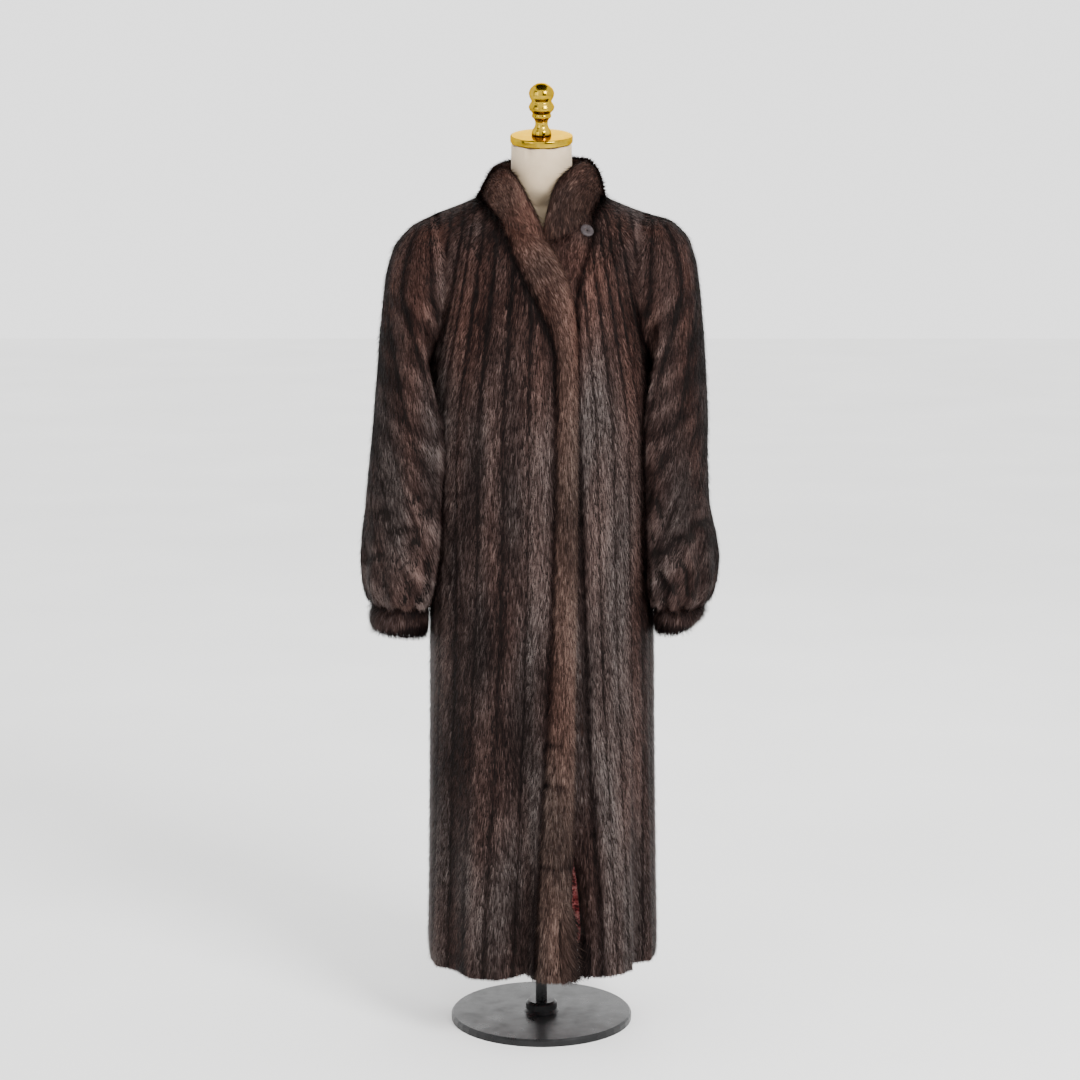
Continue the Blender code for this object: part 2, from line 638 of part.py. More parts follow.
def set_armhole_edges(walls):
    """Along the armholes the wall's thickness lies in the armhole's plane."""
    for row in range(len(SKIRT) - 1, level_count()):
        in_skirt = row < len(SKIRT)
        if not in_skirt and YOKE[row - len(SKIRT)].along > 0:
            continue
        degrees = 180 if in_skirt else YOKE[row - len(SKIRT)].round
        for name, col, side, forward in (("front_right", -1, -1, True), ("back", 0, -1, False),
                                         ("back", -1, 1, False), ("front_left", 0, 1, True)):
            outer, inner = walls[name]
            point = armhole_point(side, degrees, forward)
            outer[row, col] = point
            inner[row, col] = point - armhole_outward(degrees, forward) * WALL


def set_neck_edges(walls):
    """At the neckline the wall turns up into the collar, so its edge is mitred."""
    for name in ("front_right", "back", "front_left"):
        outer, inner = walls[name]
        columns = outer.shape[1]
        for col in range(columns):
            turned = 1.0
            if name == "front_right":
                turned = ease(col / (columns - 1) / NECK_TURN)
            if name == "front_left":
                turned = ease((1 - col / (columns - 1)) / NECK_TURN)
            point = outer[-1, col]
            square = unit(point - inner[-1, col])
            level = unit([point[0], point[1], 0.0])
            mitre = unit(square + level * NECK_MITRE * turned)
            depth = np.linalg.norm(point - inner[-1, col])
            inner[-1, col] = point - mitre * depth * (1 + NECK_DEEPER * turned)


# ---- the coat's pieces ---------------------------------------------------

def make_body(walls, finish):
    """The two fronts, the back and the two front borders."""
    for name, grids in walls.items():
        half = {"first_col": SEAM / 2, "last_col": SEAM / 2, "last_row": NECK_SEAM / 2}
        if name == "border_right":
            half["first_col"] = 0.0
        if name == "border_left":
            half["last_col"] = 0.0
        outer, inner = (draw_in(grid, **half) for grid in grids)
        wall(name, outer, inner, finish)


def make_collar(walls, finish):
    """The rolled collar, from the right border round the neck to the left one."""
    base_outer = np.vstack([walls["front_right"][0][-1], walls["back"][0][-1][1:],
                            walls["front_left"][0][-1][1:]])
    base_inner = np.vstack([walls["front_right"][1][-1], walls["back"][1][-1][1:],
                            walls["front_left"][1][-1][1:]])
    start = [grid[-1][::-1] for grid in walls["border_right"]]
    end = [grid[-1] for grid in walls["border_left"]]
    columns = len(base_outer)
    across = np.array(ACROSS)
    keys = [0.0, *column(COLLAR_RIM, "along"), 1.0]
    rim = []
    for axis, name in enumerate("xyz"):
        ends = [(start[0][-1][axis] + start[1][-1][axis]) / 2, (end[0][-1][axis] + end[1][-1][axis]) / 2]
        values = [ends[0], *column(COLLAR_RIM, name), ends[1]]
        rim.append([smooth_value(keys, values, col / (columns - 1)) for col in range(columns)])
    rim = np.array(rim).T

    outer = np.zeros((columns, len(across), 3))
    inner = np.zeros_like(outer)
    for col in range(columns):
        along = col / (columns - 1)
        body = ease(min(along, 1 - along) / COLLAR_SWELLS)
        thickness = BORDER_WALL + (COLLAR_WALL - BORDER_WALL) * body
        level = unit([rim[col][0], rim[col][1], 0.0])
        top = rim[col] + level * thickness / 2
        base = base_outer[col]
        lay = unit(top - base)
        face = unit(level - lay * np.dot(level, lay))
        for step, part in enumerate(across):
            roll = COLLAR_ROLL * sin(pi * part) ** ROLL_SHAPE if 0 < part < 1 else 0.0
            thin = thickness * EDGE_THINNING / 2 if step == len(across) - 1 else 0.0
            surface = base + (top - base) * part + face * roll
            outer[col, step] = surface - face * thin
            inner[col, step] = surface - face * (thickness + roll * ROLL_INSIDE - thin)
        outer[col, 0] = base
        inner[col, 0] = base_inner[col]
    outer[0], inner[0] = start
    outer[-1], inner[-1] = end
    half = NECK_SEAM / 2
    outer, inner = (draw_in(grid, first_row=half, last_row=half, first_col=half)
                    for grid in (outer, inner))
    wall("collar", outer, inner, finish)


def body_shape(height, forward):
    """Half width, depth and squareness of the coat's body at a height."""
    heights = column(SKIRT, "height") + [YOKE_TOP]
    last = YOKE[3]
    shape = []
    for name, top in (("half_width", SKIRT[-1].half_width),
                      ("front" if forward else "back", last.front if forward else last.back),
                      ("squareness", last.squareness)):
        shape.append(smooth_value(heights, column(SKIRT, name) + [top], height))
    return shape


def clear_of_body(point, clearance):
    """Move a sleeve's point out of the coat's body, where it would be in it."""
    if point[2] > YOKE_TOP:
        return point
    half_width, depth, power = body_shape(point[2], point[1] < 0)
    level = ((abs(point[0]) / (half_width + SIDE_FLUTE)) ** power
             + (abs(point[1]) / depth) ** power) ** (1 / power)
    reach = np.linalg.norm(point[:2])
    needed = reach / level + clearance
    if reach >= needed:
        return point
    moved = point.copy()
    moved[:2] *= needed / reach
    return moved


def fold_reach(degrees, height):
    """How far the slanting folds of a sleeve carry a point out."""
    reach = 0.0
    for fold in SLEEVE_FOLDS:
        away = (degrees - fold.round + 180) % 360 - 180
        if abs(away) < fold.spread:
            middle = fold.height + fold.rise * away / fold.spread
            off = abs(height - middle) / fold.half_width
            if off < 1:
                reach += fold.reach * cos(pi / 2 * off) ** 2 * cos(pi / 2 * away / fold.spread)
    return reach


def sleeve_rings(side, table):
    """Rings of a sleeve below the armhole; ring points start at the underarm,
    go up the front to the outer side and down the back."""
    rings = []
    for section in table:
        centre = (section.outer + section.inner) / 2
        half = (section.outer - section.inner) / 2
        ring = []
        for degrees in SLEEVE_ANGLES:
            turn = radians(degrees)
            up = (1 + cos(turn)) / 2
            height = section.inner_z + (section.outer_z - section.inner_z) * up
            wave = section.gather * cos(GATHERS * turn)
            swell = 1 + (wave + fold_reach(degrees, height)) / half
            lean = section.lean * sin(turn) ** 2 * (1.0 if sin(turn) > 0 else BACK_LEAN)
            x = centre + half * cos(turn) * swell - lean
            y = section.middle - section.depth * sin(turn) * swell
            ring.append([side * x, y, height])
        rings.append(ring)
    return np.array(rings)


def make_sleeve(name, side, table, finish):
    """A full sleeve: a wall from the armhole's edge down to the cuff's seam."""
    degrees = [180] + column([y for y in YOKE if y.along == 0], "round")
    places = [(d, True) for d in degrees] + [(d, False) for d in degrees[-2:0:-1]]
    seam_outer = np.array([armhole_point(side, d, forward) for d, forward in places])
    seam_inner = np.array([armhole_point(side, d, forward) - armhole_outward(d, forward) * WALL
                           for d, forward in places])

    def with_middles(ring):
        both = np.empty((2 * len(ring), 3))
        both[0::2] = ring
        both[1::2] = (ring + np.roll(ring, -1, axis=0)) / 2
        return both

    rings = sleeve_rings(side, table)
    outer = np.array([[clear_of_body(point, BODY_CLEARANCE) for point in ring] for ring in rings])
    outer = np.concatenate([with_middles(seam_outer)[None], outer])
    down = np.gradient(outer, axis=0)
    down[-1] = (0.0, 0.0, -1.0)
    around = np.roll(outer, -1, axis=1) - np.roll(outer, 1, axis=1)
    outward = unit(np.cross(down, around)) * side
    inner = outer - outward * WALL
    # the inside is rounder than the fur's surface
    for _ in range(SLEEVE_EASING):
        sides = (np.roll(inner, -1, axis=1) + np.roll(inner, 1, axis=1)) / 2
        inner[1:-1] = (inner[1:-1] + sides[1:-1]) / 2
    inner[0] = with_middles(seam_inner)
    outer, inner = (draw_in(grid, first_row=ARMHOLE_SEAM / 2, last_row=SEAM / 2)
                    for grid in (outer, inner))
    wall(name, outer, inner, finish, loop=True)
    return outer, inner


def make_cuff(name, side, table, sleeve, finish):
    """A wrist band that starts at the sleeve's lower edge."""
    outer, inner = [], []
    for place, cuff in enumerate(table):
        centre = (cuff.outer + cuff.inner) / 2
        half = (cuff.outer - cuff.inner) / 2
        rolled = WALL * EDGE_THINNING / 2 if place == len(table) - 1 else 0.0
        ring_out, ring_in = [], []
        for degrees in SLEEVE_ANGLES:
            turn = radians(degrees)
            slope = CUFF_SLOPE * half * cos(turn) * place / (len(table) - 1)
            for ring, depth_in in ((ring_out, rolled), (ring_in, WALL - rolled)):
                point = np.array([side * (centre + (half - depth_in) * cos(turn)),
                                  cuff.middle - (cuff.depth - depth_in) * sin(turn),
                                  cuff.height + slope])
                ring.append(clear_of_body(point, BODY_CLEARANCE + depth_in))
        outer.append(ring_out)
        inner.append(ring_in)
    outer, inner = np.array(outer), np.array(inner)
    for grid, above in ((outer, sleeve[0]), (inner, sleeve[1])):
        grid[0] = above[-1]
        grid[0] += unit(grid[1] - grid[0]) * SEAM
    wall(name, outer, inner, finish, loop=True)


def make_lining(walls, finish):
    """The lining's front edge, which shows where the skirt's fronts part."""
    levels = slice(1, 1 + LINING_ROWS)
    base = np.concatenate([walls["front_left"][1][levels, -4:-1], walls["border_left"][1][levels]], axis=1)
    face = np.concatenate([walls["front_left"][0][levels, -4:-1], walls["border_left"][0][levels]], axis=1)
    deep = unit(base - face)
    past = unit(base[:, -1:] - base[:, -3:-2]) * LINING_SHOWS
    base = np.concatenate([base, base[:, -1:] + past], axis=1)
    deep = np.concatenate([deep, deep[:, -1:]], axis=1)
    base[0, :, 2] += LINING_HEM
    gap = np.linspace(LINING_FREE, LINING_GAP, LINING_ROWS)[:, None, None]
    wall("lining", base + deep * gap, base + deep * (gap + LINING), finish)


def shoulder_height(across):
    """The height of the inside of the coat's shoulder seams."""
    down = (across - NECK_POINT[0]) / (ARMHOLE_TOP[0] - NECK_POINT[0])
    return NECK_POINT[2] + (ARMHOLE_TOP[2] - NECK_POINT[2]) * down - WALL


def make_form(finish):
    """The dress form: a smooth torso and neck, closed below and above."""
    sections = [(t.height, t.half_width, t.front, t.back, 0.0) for t in TORSO]
    for row in SHOULDERS:
        height = shoulder_height(row.half_width) - row.below
        sections.append((height, row.half_width, row.front, row.back, 0.0))
    for height, radius, slant in NECK_SECTIONS:
        sections.append((height, radius, radius, radius, slant))
    rings = []
    for height, half_width, front, back, slant in sections:
        ring = []
        for step in range(FORM_STEPS):
            turn = 2 * pi * step / FORM_STEPS
            x = half_width * sin(turn)
            y = -cos(turn) * (front if cos(turn) > 0 else back)
            ring.append((x, y, height + y * tan(slant)))
        rings.append(ring)
    points = [point for ring in rings for point in ring]
    faces = [list(range(FORM_STEPS))]
    for row in range(len(rings) - 1):
        for step in range(FORM_STEPS):
            after = (step + 1) % FORM_STEPS
            faces.append([row * FORM_STEPS + step, row * FORM_STEPS + after,
                          (row + 1) * FORM_STEPS + after, (row + 1) * FORM_STEPS + step])
    faces.append([(len(rings) - 1) * FORM_STEPS + step for step in reversed(range(FORM_STEPS))])
    new_object("form_body", mesh_from("form_body", points, faces), finish)


def turned(name, profile, finish, steps, place):
    """A turned piece: its outer side from top to bottom, spun round its axis."""
    mesh = bpy.data.meshes.new(name)
    points = [(radius, 0.0, height) for radius, height in profile]
    mesh.from_pydata(points, [(i, i + 1) for i in range(len(points) - 1)], [])
    made = new_object(name, mesh, finish)
    screw = made.modifiers.new("turn", "SCREW")
    screw.steps = screw.render_steps = steps
    screw.use_merge_vertices = True
    screw.merge_threshold = 0.00001
    made.matrix_world = place
    return made


def neck_frame():
    """The slanting frame of the neck's top, at the plate's upper face."""
    return Matrix.Translation((0, 0, CAP_HEIGHT)) @ Matrix.Rotation(NECK_SLANT, 4, "X")


def make_stand(brass, black):
    """The brass plate and knob on the neck, the pole and the foot."""
    turned("neck_cap", [(0, 0), (CAP_RADIUS - CAP_EDGE, 0), (CAP_RADIUS, -CAP_EDGE),
                        (CAP_RADIUS, CAP_EDGE - CAP_THICKNESS), (CAP_RADIUS - CAP_EDGE, -CAP_THICKNESS),
                        (0, -CAP_THICKNESS)], brass, 40, neck_frame())
    knob = [(part.radius, part.height * FINIAL_HEIGHT) for part in FINIAL]
    turned("finial", knob, brass, 20, neck_frame() @ Matrix.Translation((0, 0, SEAM)))
    top, bottom = TORSO[0].height - SEAM, HUB_TOP + SEAM
    turned("pole", [(0, top), (POLE_RADIUS, top), (POLE_RADIUS, bottom), (0, bottom)],
           black, 20, Matrix())
    turned("base", [(0, HUB_TOP), (HUB_RADIUS - HUB_EDGE, HUB_TOP), (HUB_RADIUS, HUB_TOP - HUB_EDGE),
                    (HUB_RADIUS, BASE_THICKNESS + HUB_EDGE), (HUB_RADIUS + HUB_EDGE, BASE_THICKNESS),
                    (BASE_RADIUS - BASE_EDGE, BASE_THICKNESS), (BASE_RADIUS, BASE_THICKNESS - BASE_EDGE),
                    (BASE_RADIUS, 0), (0, 0)], black, 48, Matrix())


def make_button(border, horn):
    spot, square = button_place(border)
    place = Matrix.Translation(spot) @ square.to_track_quat("Z", "Y").to_matrix().to_4x4()
    turned("button", [(row.radius, row.height) for row in BUTTON], horn, 24, place)


def button_place(border):
    """Where the button lies at the left border's top, and the way it faces."""
    upper, lower = border[-1], border[-2]

    def surface(across, down):
        places = [np.interp(across, ACROSS, row[:, axis]) for row in (upper, lower) for axis in range(3)]
        return np.array(places[:3]) * (1 - down) + np.array(places[3:]) * down

    spot = surface(BUTTON_ACROSS, BUTTON_DOWN)
    level = surface(2 * BUTTON_ACROSS, BUTTON_DOWN) - surface(0.0, BUTTON_DOWN)
    square = unit(np.cross(level, surface(BUTTON_ACROSS, 1.0) - surface(BUTTON_ACROSS, 0.0)))
    square *= -np.sign(square[1])
    # it rests on the highest fur under it
    highest = 0.0
    for across in np.linspace(0, 1, BUTTON_SAMPLES):
        for down in np.linspace(0, 1, BUTTON_SAMPLES):
            away = surface(across, down) - spot
            rise = np.dot(away, square)
            if np.linalg.norm(away - square * rise) < BUTTON_RADIUS:
                highest = max(highest, rise)
    return Vector(spot + square * (highest + BUTTON_OFF)), Vector(square)


def clear_scene():
    for old in list(bpy.data.objects):
        bpy.data.objects.remove(old)
    made = bpy.data.collections.new(COLLECTION)
    bpy.context.scene.collection.children.link(made)


clear_scene()
dark_fur = material("mink_dark", (0.055, 0.030, 0.024), 0.75)
warm_fur = material("mink_warm", (0.090, 0.048, 0.034), 0.75)
red_lining = material("printed_lining", (0.42, 0.12, 0.10), 0.55)
cream_cloth = material("cream_jersey", (0.72, 0.67, 0.60), 0.90)
polished_brass = material("polished_brass", (0.83, 0.60, 0.22), 0.18, 1.0)
black_enamel = material("black_enamel", (0.012, 0.012, 0.013), 0.35)
grey_horn = material("grey_horn", (0.30, 0.26, 0.25), 0.40)

body_walls = coat_walls()
make_body(body_walls, dark_fur)
make_collar(body_walls, warm_fur)
for label, sign, sections, cuffs in (("right", -1, SLEEVE_RIGHT, CUFF_RIGHT),
                                     ("left", 1, SLEEVE_LEFT, CUFF_LEFT)):
    arm = make_sleeve("sleeve_" + label, sign, sections, dark_fur)
    make_cuff("cuff_" + label, sign, cuffs, arm, warm_fur)
make_button(body_walls["border_left"][0], grey_horn)
make_lining(body_walls, red_lining)
make_form(cream_cloth)
make_stand(polished_brass, black_enamel)
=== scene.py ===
"""The looks of a full-length mink coat on its dress form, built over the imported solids.

The file follows the coat as it is set up: the stand, the brass, the form, the
lining, the pelts, the fur that grows on them, and the button. Metres, +Z up,
the coat faces -Y.
"""

from collections import namedtuple
from math import cos, exp, pi, radians, sin

import bmesh
import bpy
import numpy as np
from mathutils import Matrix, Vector, noise
from mathutils.bvhtree import BVHTree


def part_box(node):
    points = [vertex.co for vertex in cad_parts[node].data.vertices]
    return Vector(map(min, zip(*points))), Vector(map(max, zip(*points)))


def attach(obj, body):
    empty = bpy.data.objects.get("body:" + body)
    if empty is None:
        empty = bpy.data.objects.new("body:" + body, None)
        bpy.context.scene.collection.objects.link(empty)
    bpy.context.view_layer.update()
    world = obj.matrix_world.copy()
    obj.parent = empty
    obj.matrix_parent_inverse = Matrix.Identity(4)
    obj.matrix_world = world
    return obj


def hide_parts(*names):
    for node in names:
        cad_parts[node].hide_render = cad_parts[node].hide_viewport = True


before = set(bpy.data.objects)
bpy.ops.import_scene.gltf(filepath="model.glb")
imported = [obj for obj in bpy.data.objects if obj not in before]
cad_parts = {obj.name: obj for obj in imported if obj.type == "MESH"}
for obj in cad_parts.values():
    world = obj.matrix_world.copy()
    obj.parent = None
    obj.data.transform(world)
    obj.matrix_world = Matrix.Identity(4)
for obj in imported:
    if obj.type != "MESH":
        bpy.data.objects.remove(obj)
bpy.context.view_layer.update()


# ---- pole and foot -------------------------------------------------------
# A steel tube in a pressed steel foot, both stove-enamelled black. The pole is
# a push fit in the foot's hub.

def linear(hex_colour):
    """An sRGB hex value as the linear colour that a shader takes."""
    parts = [int(hex_colour[at:at + 2], 16) / 255 for at in (1, 3, 5)]
    return [p / 12.92 if p <= 0.04045 else ((p + 0.055) / 1.055) ** 2.4 for p in parts] + [1.0]


def add(tree, kind, settings=None, feeds=None):
    """One node of a material, with its settings and the sockets that feed it."""
    made = tree.nodes.new("ShaderNode" + kind)
    for name, value in (settings or {}).items():
        if name in made.inputs.keys():
            made.inputs[name].default_value = value
        else:
            setattr(made, name, value)
    for name, source in (feeds or {}).items():
        tree.links.new(source, made.inputs[name])
    return made


def finish(name, **sockets):
    """A new material with its shader's constants, and its tree and shader."""
    made = bpy.data.materials.new(name)
    made.use_nodes = True
    shader = made.node_tree.nodes["Principled BSDF"]
    for socket, value in sockets.items():
        shader.inputs[socket.replace("_", " ")].default_value = value
    return made, made.node_tree, shader


def ramp(tree, fed_by, *stops):
    """A colour ramp through (place, hex colour) stops."""
    made = add(tree, "ValToRGB", feeds={"Fac": fed_by})
    elements = made.color_ramp.elements
    while len(elements) < len(stops):
        elements.new(1.0)
    for element, (place, colour) in zip(elements, stops):
        element.position = place
        element.color = linear(colour)
    return made.outputs["Color"]


def bump(tree, shader, height, depth, strength=1.0):
    """Fine relief of a real depth in metres."""
    relief = add(tree, "Bump", {"Strength": strength, "Distance": depth}, {"Height": height})
    tree.links.new(relief.outputs["Normal"], shader.inputs["Normal"])


def dress(node, material):
    """A carried-over solid gets its finish."""
    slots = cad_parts[node].data.materials
    slots.clear()
    slots.append(material)


def black_enamel():
    """Stove enamel: near black, a satin gloss, faintly uneven like orange peel."""
    made, tree, shader = finish("black_stove_enamel", Roughness=0.34, IOR=1.5,
                                Specular_IOR_Level=0.25)
    where = add(tree, "TexCoord").outputs["Object"]
    peel = add(tree, "TexNoise", {"Scale": 420.0, "Detail": 2.0}, {"Vector": where})
    dust = add(tree, "TexNoise", {"Scale": 38.0, "Detail": 6.0}, {"Vector": where})
    tree.links.new(ramp(tree, dust.outputs["Fac"], (0.40, "#101011"), (0.75, "#1b1b1c")),
                   shader.inputs["Base Color"])
    dull = add(tree, "MapRange", {"From Min": 0.3, "From Max": 0.7, "To Min": 0.24, "To Max": 0.42},
               {"Value": dust.outputs["Fac"]})
    tree.links.new(dull.outputs["Result"], shader.inputs["Roughness"])
    bump(tree, shader, peel.outputs["Fac"], 0.00012, 0.5)
    return made


enamel = black_enamel()
dress("pole", enamel)
dress("base", enamel)


# ---- brass plate and knob ------------------------------------------------
# Spun and polished brass, lacquered: the plate closes the form's neck, and
# the turned knob is screwed to it.

def polished_brass():
    """Lacquered brass: warm yellow, mirror-like, a little dull where fingers wore it."""
    made, tree, shader = finish("polished_brass", Metallic=1.0, Roughness=0.14,
                                Specular_Tint=linear("#f0cf74"))
    where = add(tree, "TexCoord").outputs["Object"]
    wear = add(tree, "TexNoise", {"Scale": 60.0, "Detail": 5.0, "Roughness": 0.6},
               {"Vector": where})
    yellow = ramp(tree, wear.outputs["Fac"], (0.35, "#8f7214"), (0.70, "#b4962a"))
    # painted shade darkens the turned grooves
    groove_occlusion = add(tree, "AmbientOcclusion", {"Distance": 0.016})
    painted_groove_shade = ramp(tree, groove_occlusion.outputs["AO"], (0.30, "#2c1e08"), (0.80, "#ffffff"))
    groove_shaded_yellow = add(tree, "MixRGB", {"blend_type": "MULTIPLY", "Fac": 1.0},
                   {"Color1": yellow, "Color2": painted_groove_shade})
    tree.links.new(groove_shaded_yellow.outputs["Color"], shader.inputs["Base Color"])
    dull = add(tree, "MapRange",
               {"From Min": 0.35, "From Max": 0.7, "To Min": 0.12, "To Max": 0.24},
               {"Value": wear.outputs["Fac"]})
    tree.links.new(dull.outputs["Result"], shader.inputs["Roughness"])
    swirl = add(tree, "TexNoise", {"Scale": 900.0, "Detail": 1.0}, {"Vector": where})
    bump(tree, shader, swirl.outputs["Fac"], 0.00002, 0.4)
    return made


def merged_copy(*nodes):
    """Copies of solids in one bmesh, with their loose triangles joined up."""
    shape = bmesh.new()
    for node in nodes:
        shape.from_mesh(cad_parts[node].data)
    bmesh.ops.remove_doubles(shape, verts=shape.verts[:], dist=0.00001)
    return shape


def new_piece(name, shape, slot, *materials):
    """A finished piece from a bmesh, riding on the part. Its slot is not used."""
    mesh = bpy.data.meshes.new(name)
    shape.to_mesh(mesh)
    shape.free()
    for material in materials:
        mesh.materials.append(material)
    mesh.shade_smooth()
    made = bpy.data.objects.new(name, mesh)
    bpy.context.scene.collection.objects.link(made)
    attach(made, "root")
    return made


def soften(shape, cuts, round_angle=radians(50), passes=1, kept_material=None):
    """Finer faces, with the facets evened out. The sharp edges are kept, and so are
    the faces of one material."""
    sharp = {v for e in shape.edges if e.calc_face_angle(0) > round_angle for v in e.verts}
    kept = shape.verts.layers.int.new("kept")
    for vert in shape.verts:
        vert[kept] = 1 if vert in sharp else 0
    bmesh.ops.subdivide_edges(shape, edges=shape.edges[:], cuts=cuts, use_grid_fill=True)
    still = {v for f in shape.faces if f.material_index == kept_material for v in f.verts}
    loose = [v for v in shape.verts if not v[kept] and v not in still]
    for _ in range(passes):
        bmesh.ops.smooth_vert(shape, verts=loose, factor=0.5, use_axis_x=True,
                              use_axis_y=True, use_axis_z=True)
    shape.verts.layers.int.remove(kept)


brass = polished_brass()
for node in ("neck_cap", "finial"):
    brass_shape = merged_copy(node)
    soften(brass_shape, cuts=2)
    brass_piece = new_piece("brass_" + node, brass_shape, "brass", brass)
    brass_piece.data.set_sharp_from_angle(angle=radians(40))
    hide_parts(node)


# ---- the dress form ------------------------------------------------------
# A hollow moulded body, covered in cream cotton jersey drawn tight and glued
# down. Only its neck shows; the brass plate stands on it.

def cream_jersey():
    """Stretched cotton jersey: cream, matt, with the fine upright ribs of its knit."""
    made, tree, shader = finish("cream_cotton_jersey", Roughness=0.9, Sheen_Weight=0.25,
                                Sheen_Roughness=0.5, IOR=1.45)
    where = add(tree, "TexCoord").outputs["Object"]
    # ribs 1.2 mm apart, coarser than real jersey, so that they show
    ribs = add(tree, "TexWave", {"Scale": 260.0, "Distortion": 1.5, "Detail": 2.0,
                                 "bands_direction": "X"}, {"Vector": where})
    slub = add(tree, "TexNoise", {"Scale": 22.0, "Detail": 6.0}, {"Vector": where})
    fuzz = add(tree, "TexNoise", {"Scale": 700.0, "Detail": 3.0}, {"Vector": where})
    cream = ramp(tree, slub.outputs["Fac"], (0.30, "#aa967a"), (0.55, "#b6a287"), (0.80, "#c1ae94"))
    tree.links.new(cream, shader.inputs["Base Color"])
    both = add(tree, "Math", {"operation": "ADD"}, {0: ribs.outputs["Fac"], 1: fuzz.outputs["Fac"]})
    bump(tree, shader, both.outputs["Value"], 0.0002, 0.6)
    return made


form_shape = merged_copy("form_body")
soften(form_shape, cuts=1)
form_cover = new_piece("form_cover", form_shape, "form_cloth", cream_jersey())
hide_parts("form_body")


# ---- lining --------------------------------------------------------------
# Printed rayon satin, felled to the pelts by hand. Its edge shows in the slit
# where the fronts part at the hem, and the walls' insides are lined with it.

def printed_satin():
    """Rayon satin: smooth, a soft gleam, dusky red with small dark sprigs printed on it."""
    made, tree, shader = finish("printed_rayon_satin", Roughness=0.38, IOR=1.5,
                                Sheen_Weight=0.3, Sheen_Roughness=0.3)
    where = add(tree, "TexCoord").outputs["Object"]
    # sprigs about 9 mm apart, bent like small leaves
    bend = add(tree, "TexNoise", {"Scale": 90.0, "Detail": 1.0}, {"Vector": where})
    bent = add(tree, "MixRGB", {"blend_type": "LINEAR_LIGHT", "Fac": 0.012},
               {"Color1": where, "Color2": bend.outputs["Color"]})
    sprig = add(tree, "TexVoronoi", {"Scale": 110.0, "Randomness": 0.75},
                {"Vector": bent.outputs["Color"]})
    vein = add(tree, "TexVoronoi", {"Scale": 240.0, "feature": "DISTANCE_TO_EDGE"},
               {"Vector": bent.outputs["Color"]})
    leaves = ramp(tree, sprig.outputs["Distance"], (0.26, "#3a1216"), (0.34, "#8e3439"),
                  (0.46, "#b5605f"), (0.60, "#c98480"))
    lines = ramp(tree, vein.outputs["Distance"], (0.03, "#5a2024"), (0.10, "#ffffff"))
    print_colour = add(tree, "MixRGB", {"blend_type": "MULTIPLY", "Fac": 0.55},
                       {"Color1": leaves, "Color2": lines})
    tree.links.new(print_colour.outputs["Color"], shader.inputs["Base Color"])
    # floats of the satin weave, 0.5 mm
    weave = add(tree, "TexWave", {"Scale": 600.0, "bands_direction": "Z"}, {"Vector": where})
    bump(tree, shader, weave.outputs["Fac"], 0.00003, 0.4)
    return made


satin = printed_satin()
lining_shape = merged_copy("lining")
soften(lining_shape, cuts=1)
lining_edge = new_piece("lining_edge", lining_shape, "lining", satin)
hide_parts("lining")


# ---- pelts ---------------------------------------------------------------
# Let-out mink: each pelt is cut and sewn again into one long strip, and the
# strips are joined hem to neck. Here the leather and its thick underfur are
# one shell on each solid's form, with the satin felled in on its inside.

DOWN = Vector((0, 0, -1))
TO_FRONT = Vector((0, -0.8, -0.6))      # the way that the collar's hair runs
BORDERS = ("border_right", "border_left")
SEAM_REACH = 0.001          # farther than any seam is wide
FACE_REACH = 0.0008         # the middle of a face that lies in a seam is this near its neighbour
ALONG = 0.5                 # an edge runs along a strip if its direction agrees by this much

# What is cut: the seams that a piece's strips are counted from, the way its
# hair runs, its flat cut and the area that the cut covers.
Pelt = namedtuple("Pelt", "node slot counted_from towards flat area")
PELTS = (
    Pelt("front_right", "fur", ("border_right",), DOWN, (0.36, 1.26), 0.30),
    Pelt("front_left", "fur", ("border_left",), DOWN, (0.30, 1.26), 0.24),
    Pelt("back", "fur", ("front_right", "sleeve_right"), DOWN, (0.66, 1.30), 0.66),
    Pelt("border_right", "border_fur", ("front_right",), DOWN, (0.06, 1.20), 0.06),
    Pelt("border_left", "border_fur", ("front_left",), DOWN, (0.06, 1.20), 0.06),
    Pelt("collar", "border_fur", ("front_right", "back", "front_left"), TO_FRONT, (0.07, 0.50),
         0.034),
    Pelt("sleeve_right", "fur", (), DOWN, (0.50, 0.60), 0.22),
    Pelt("sleeve_left", "fur", (), DOWN, (0.50, 0.60), 0.22),
    Pelt("cuff_right", "border_fur", (), DOWN, (0.34, 0.045), 0.0135),
    Pelt("cuff_left", "border_fur", (), DOWN, (0.34, 0.045), 0.0135),
)

# The line that each arm of the coat runs round.
SPINES = {
    "body": ((0.0, 0.0, 1.12), (0.0, 0.0, 0.0)),
    "right": ((-0.174, 0.0, 1.212), (-0.206, -0.018, 1.02),
              (-0.214, -0.027, 0.87), (-0.226, -0.034, 0.66)),
    "left": ((0.174, 0.0, 1.212), (0.208, -0.018, 1.02),
             (0.216, -0.028, 0.87), (0.214, -0.040, 0.66)),
}


def unit(vectors):
    """Each row at a length of 1."""
    return vectors / np.maximum(np.linalg.norm(vectors, axis=-1, keepdims=True), 1e-9)


def spine_of(node):
    """The line that a piece runs round, as points."""
    arm = node.startswith(("sleeve", "cuff"))
    return np.array(SPINES[node.split("_")[1] if arm else "body"])


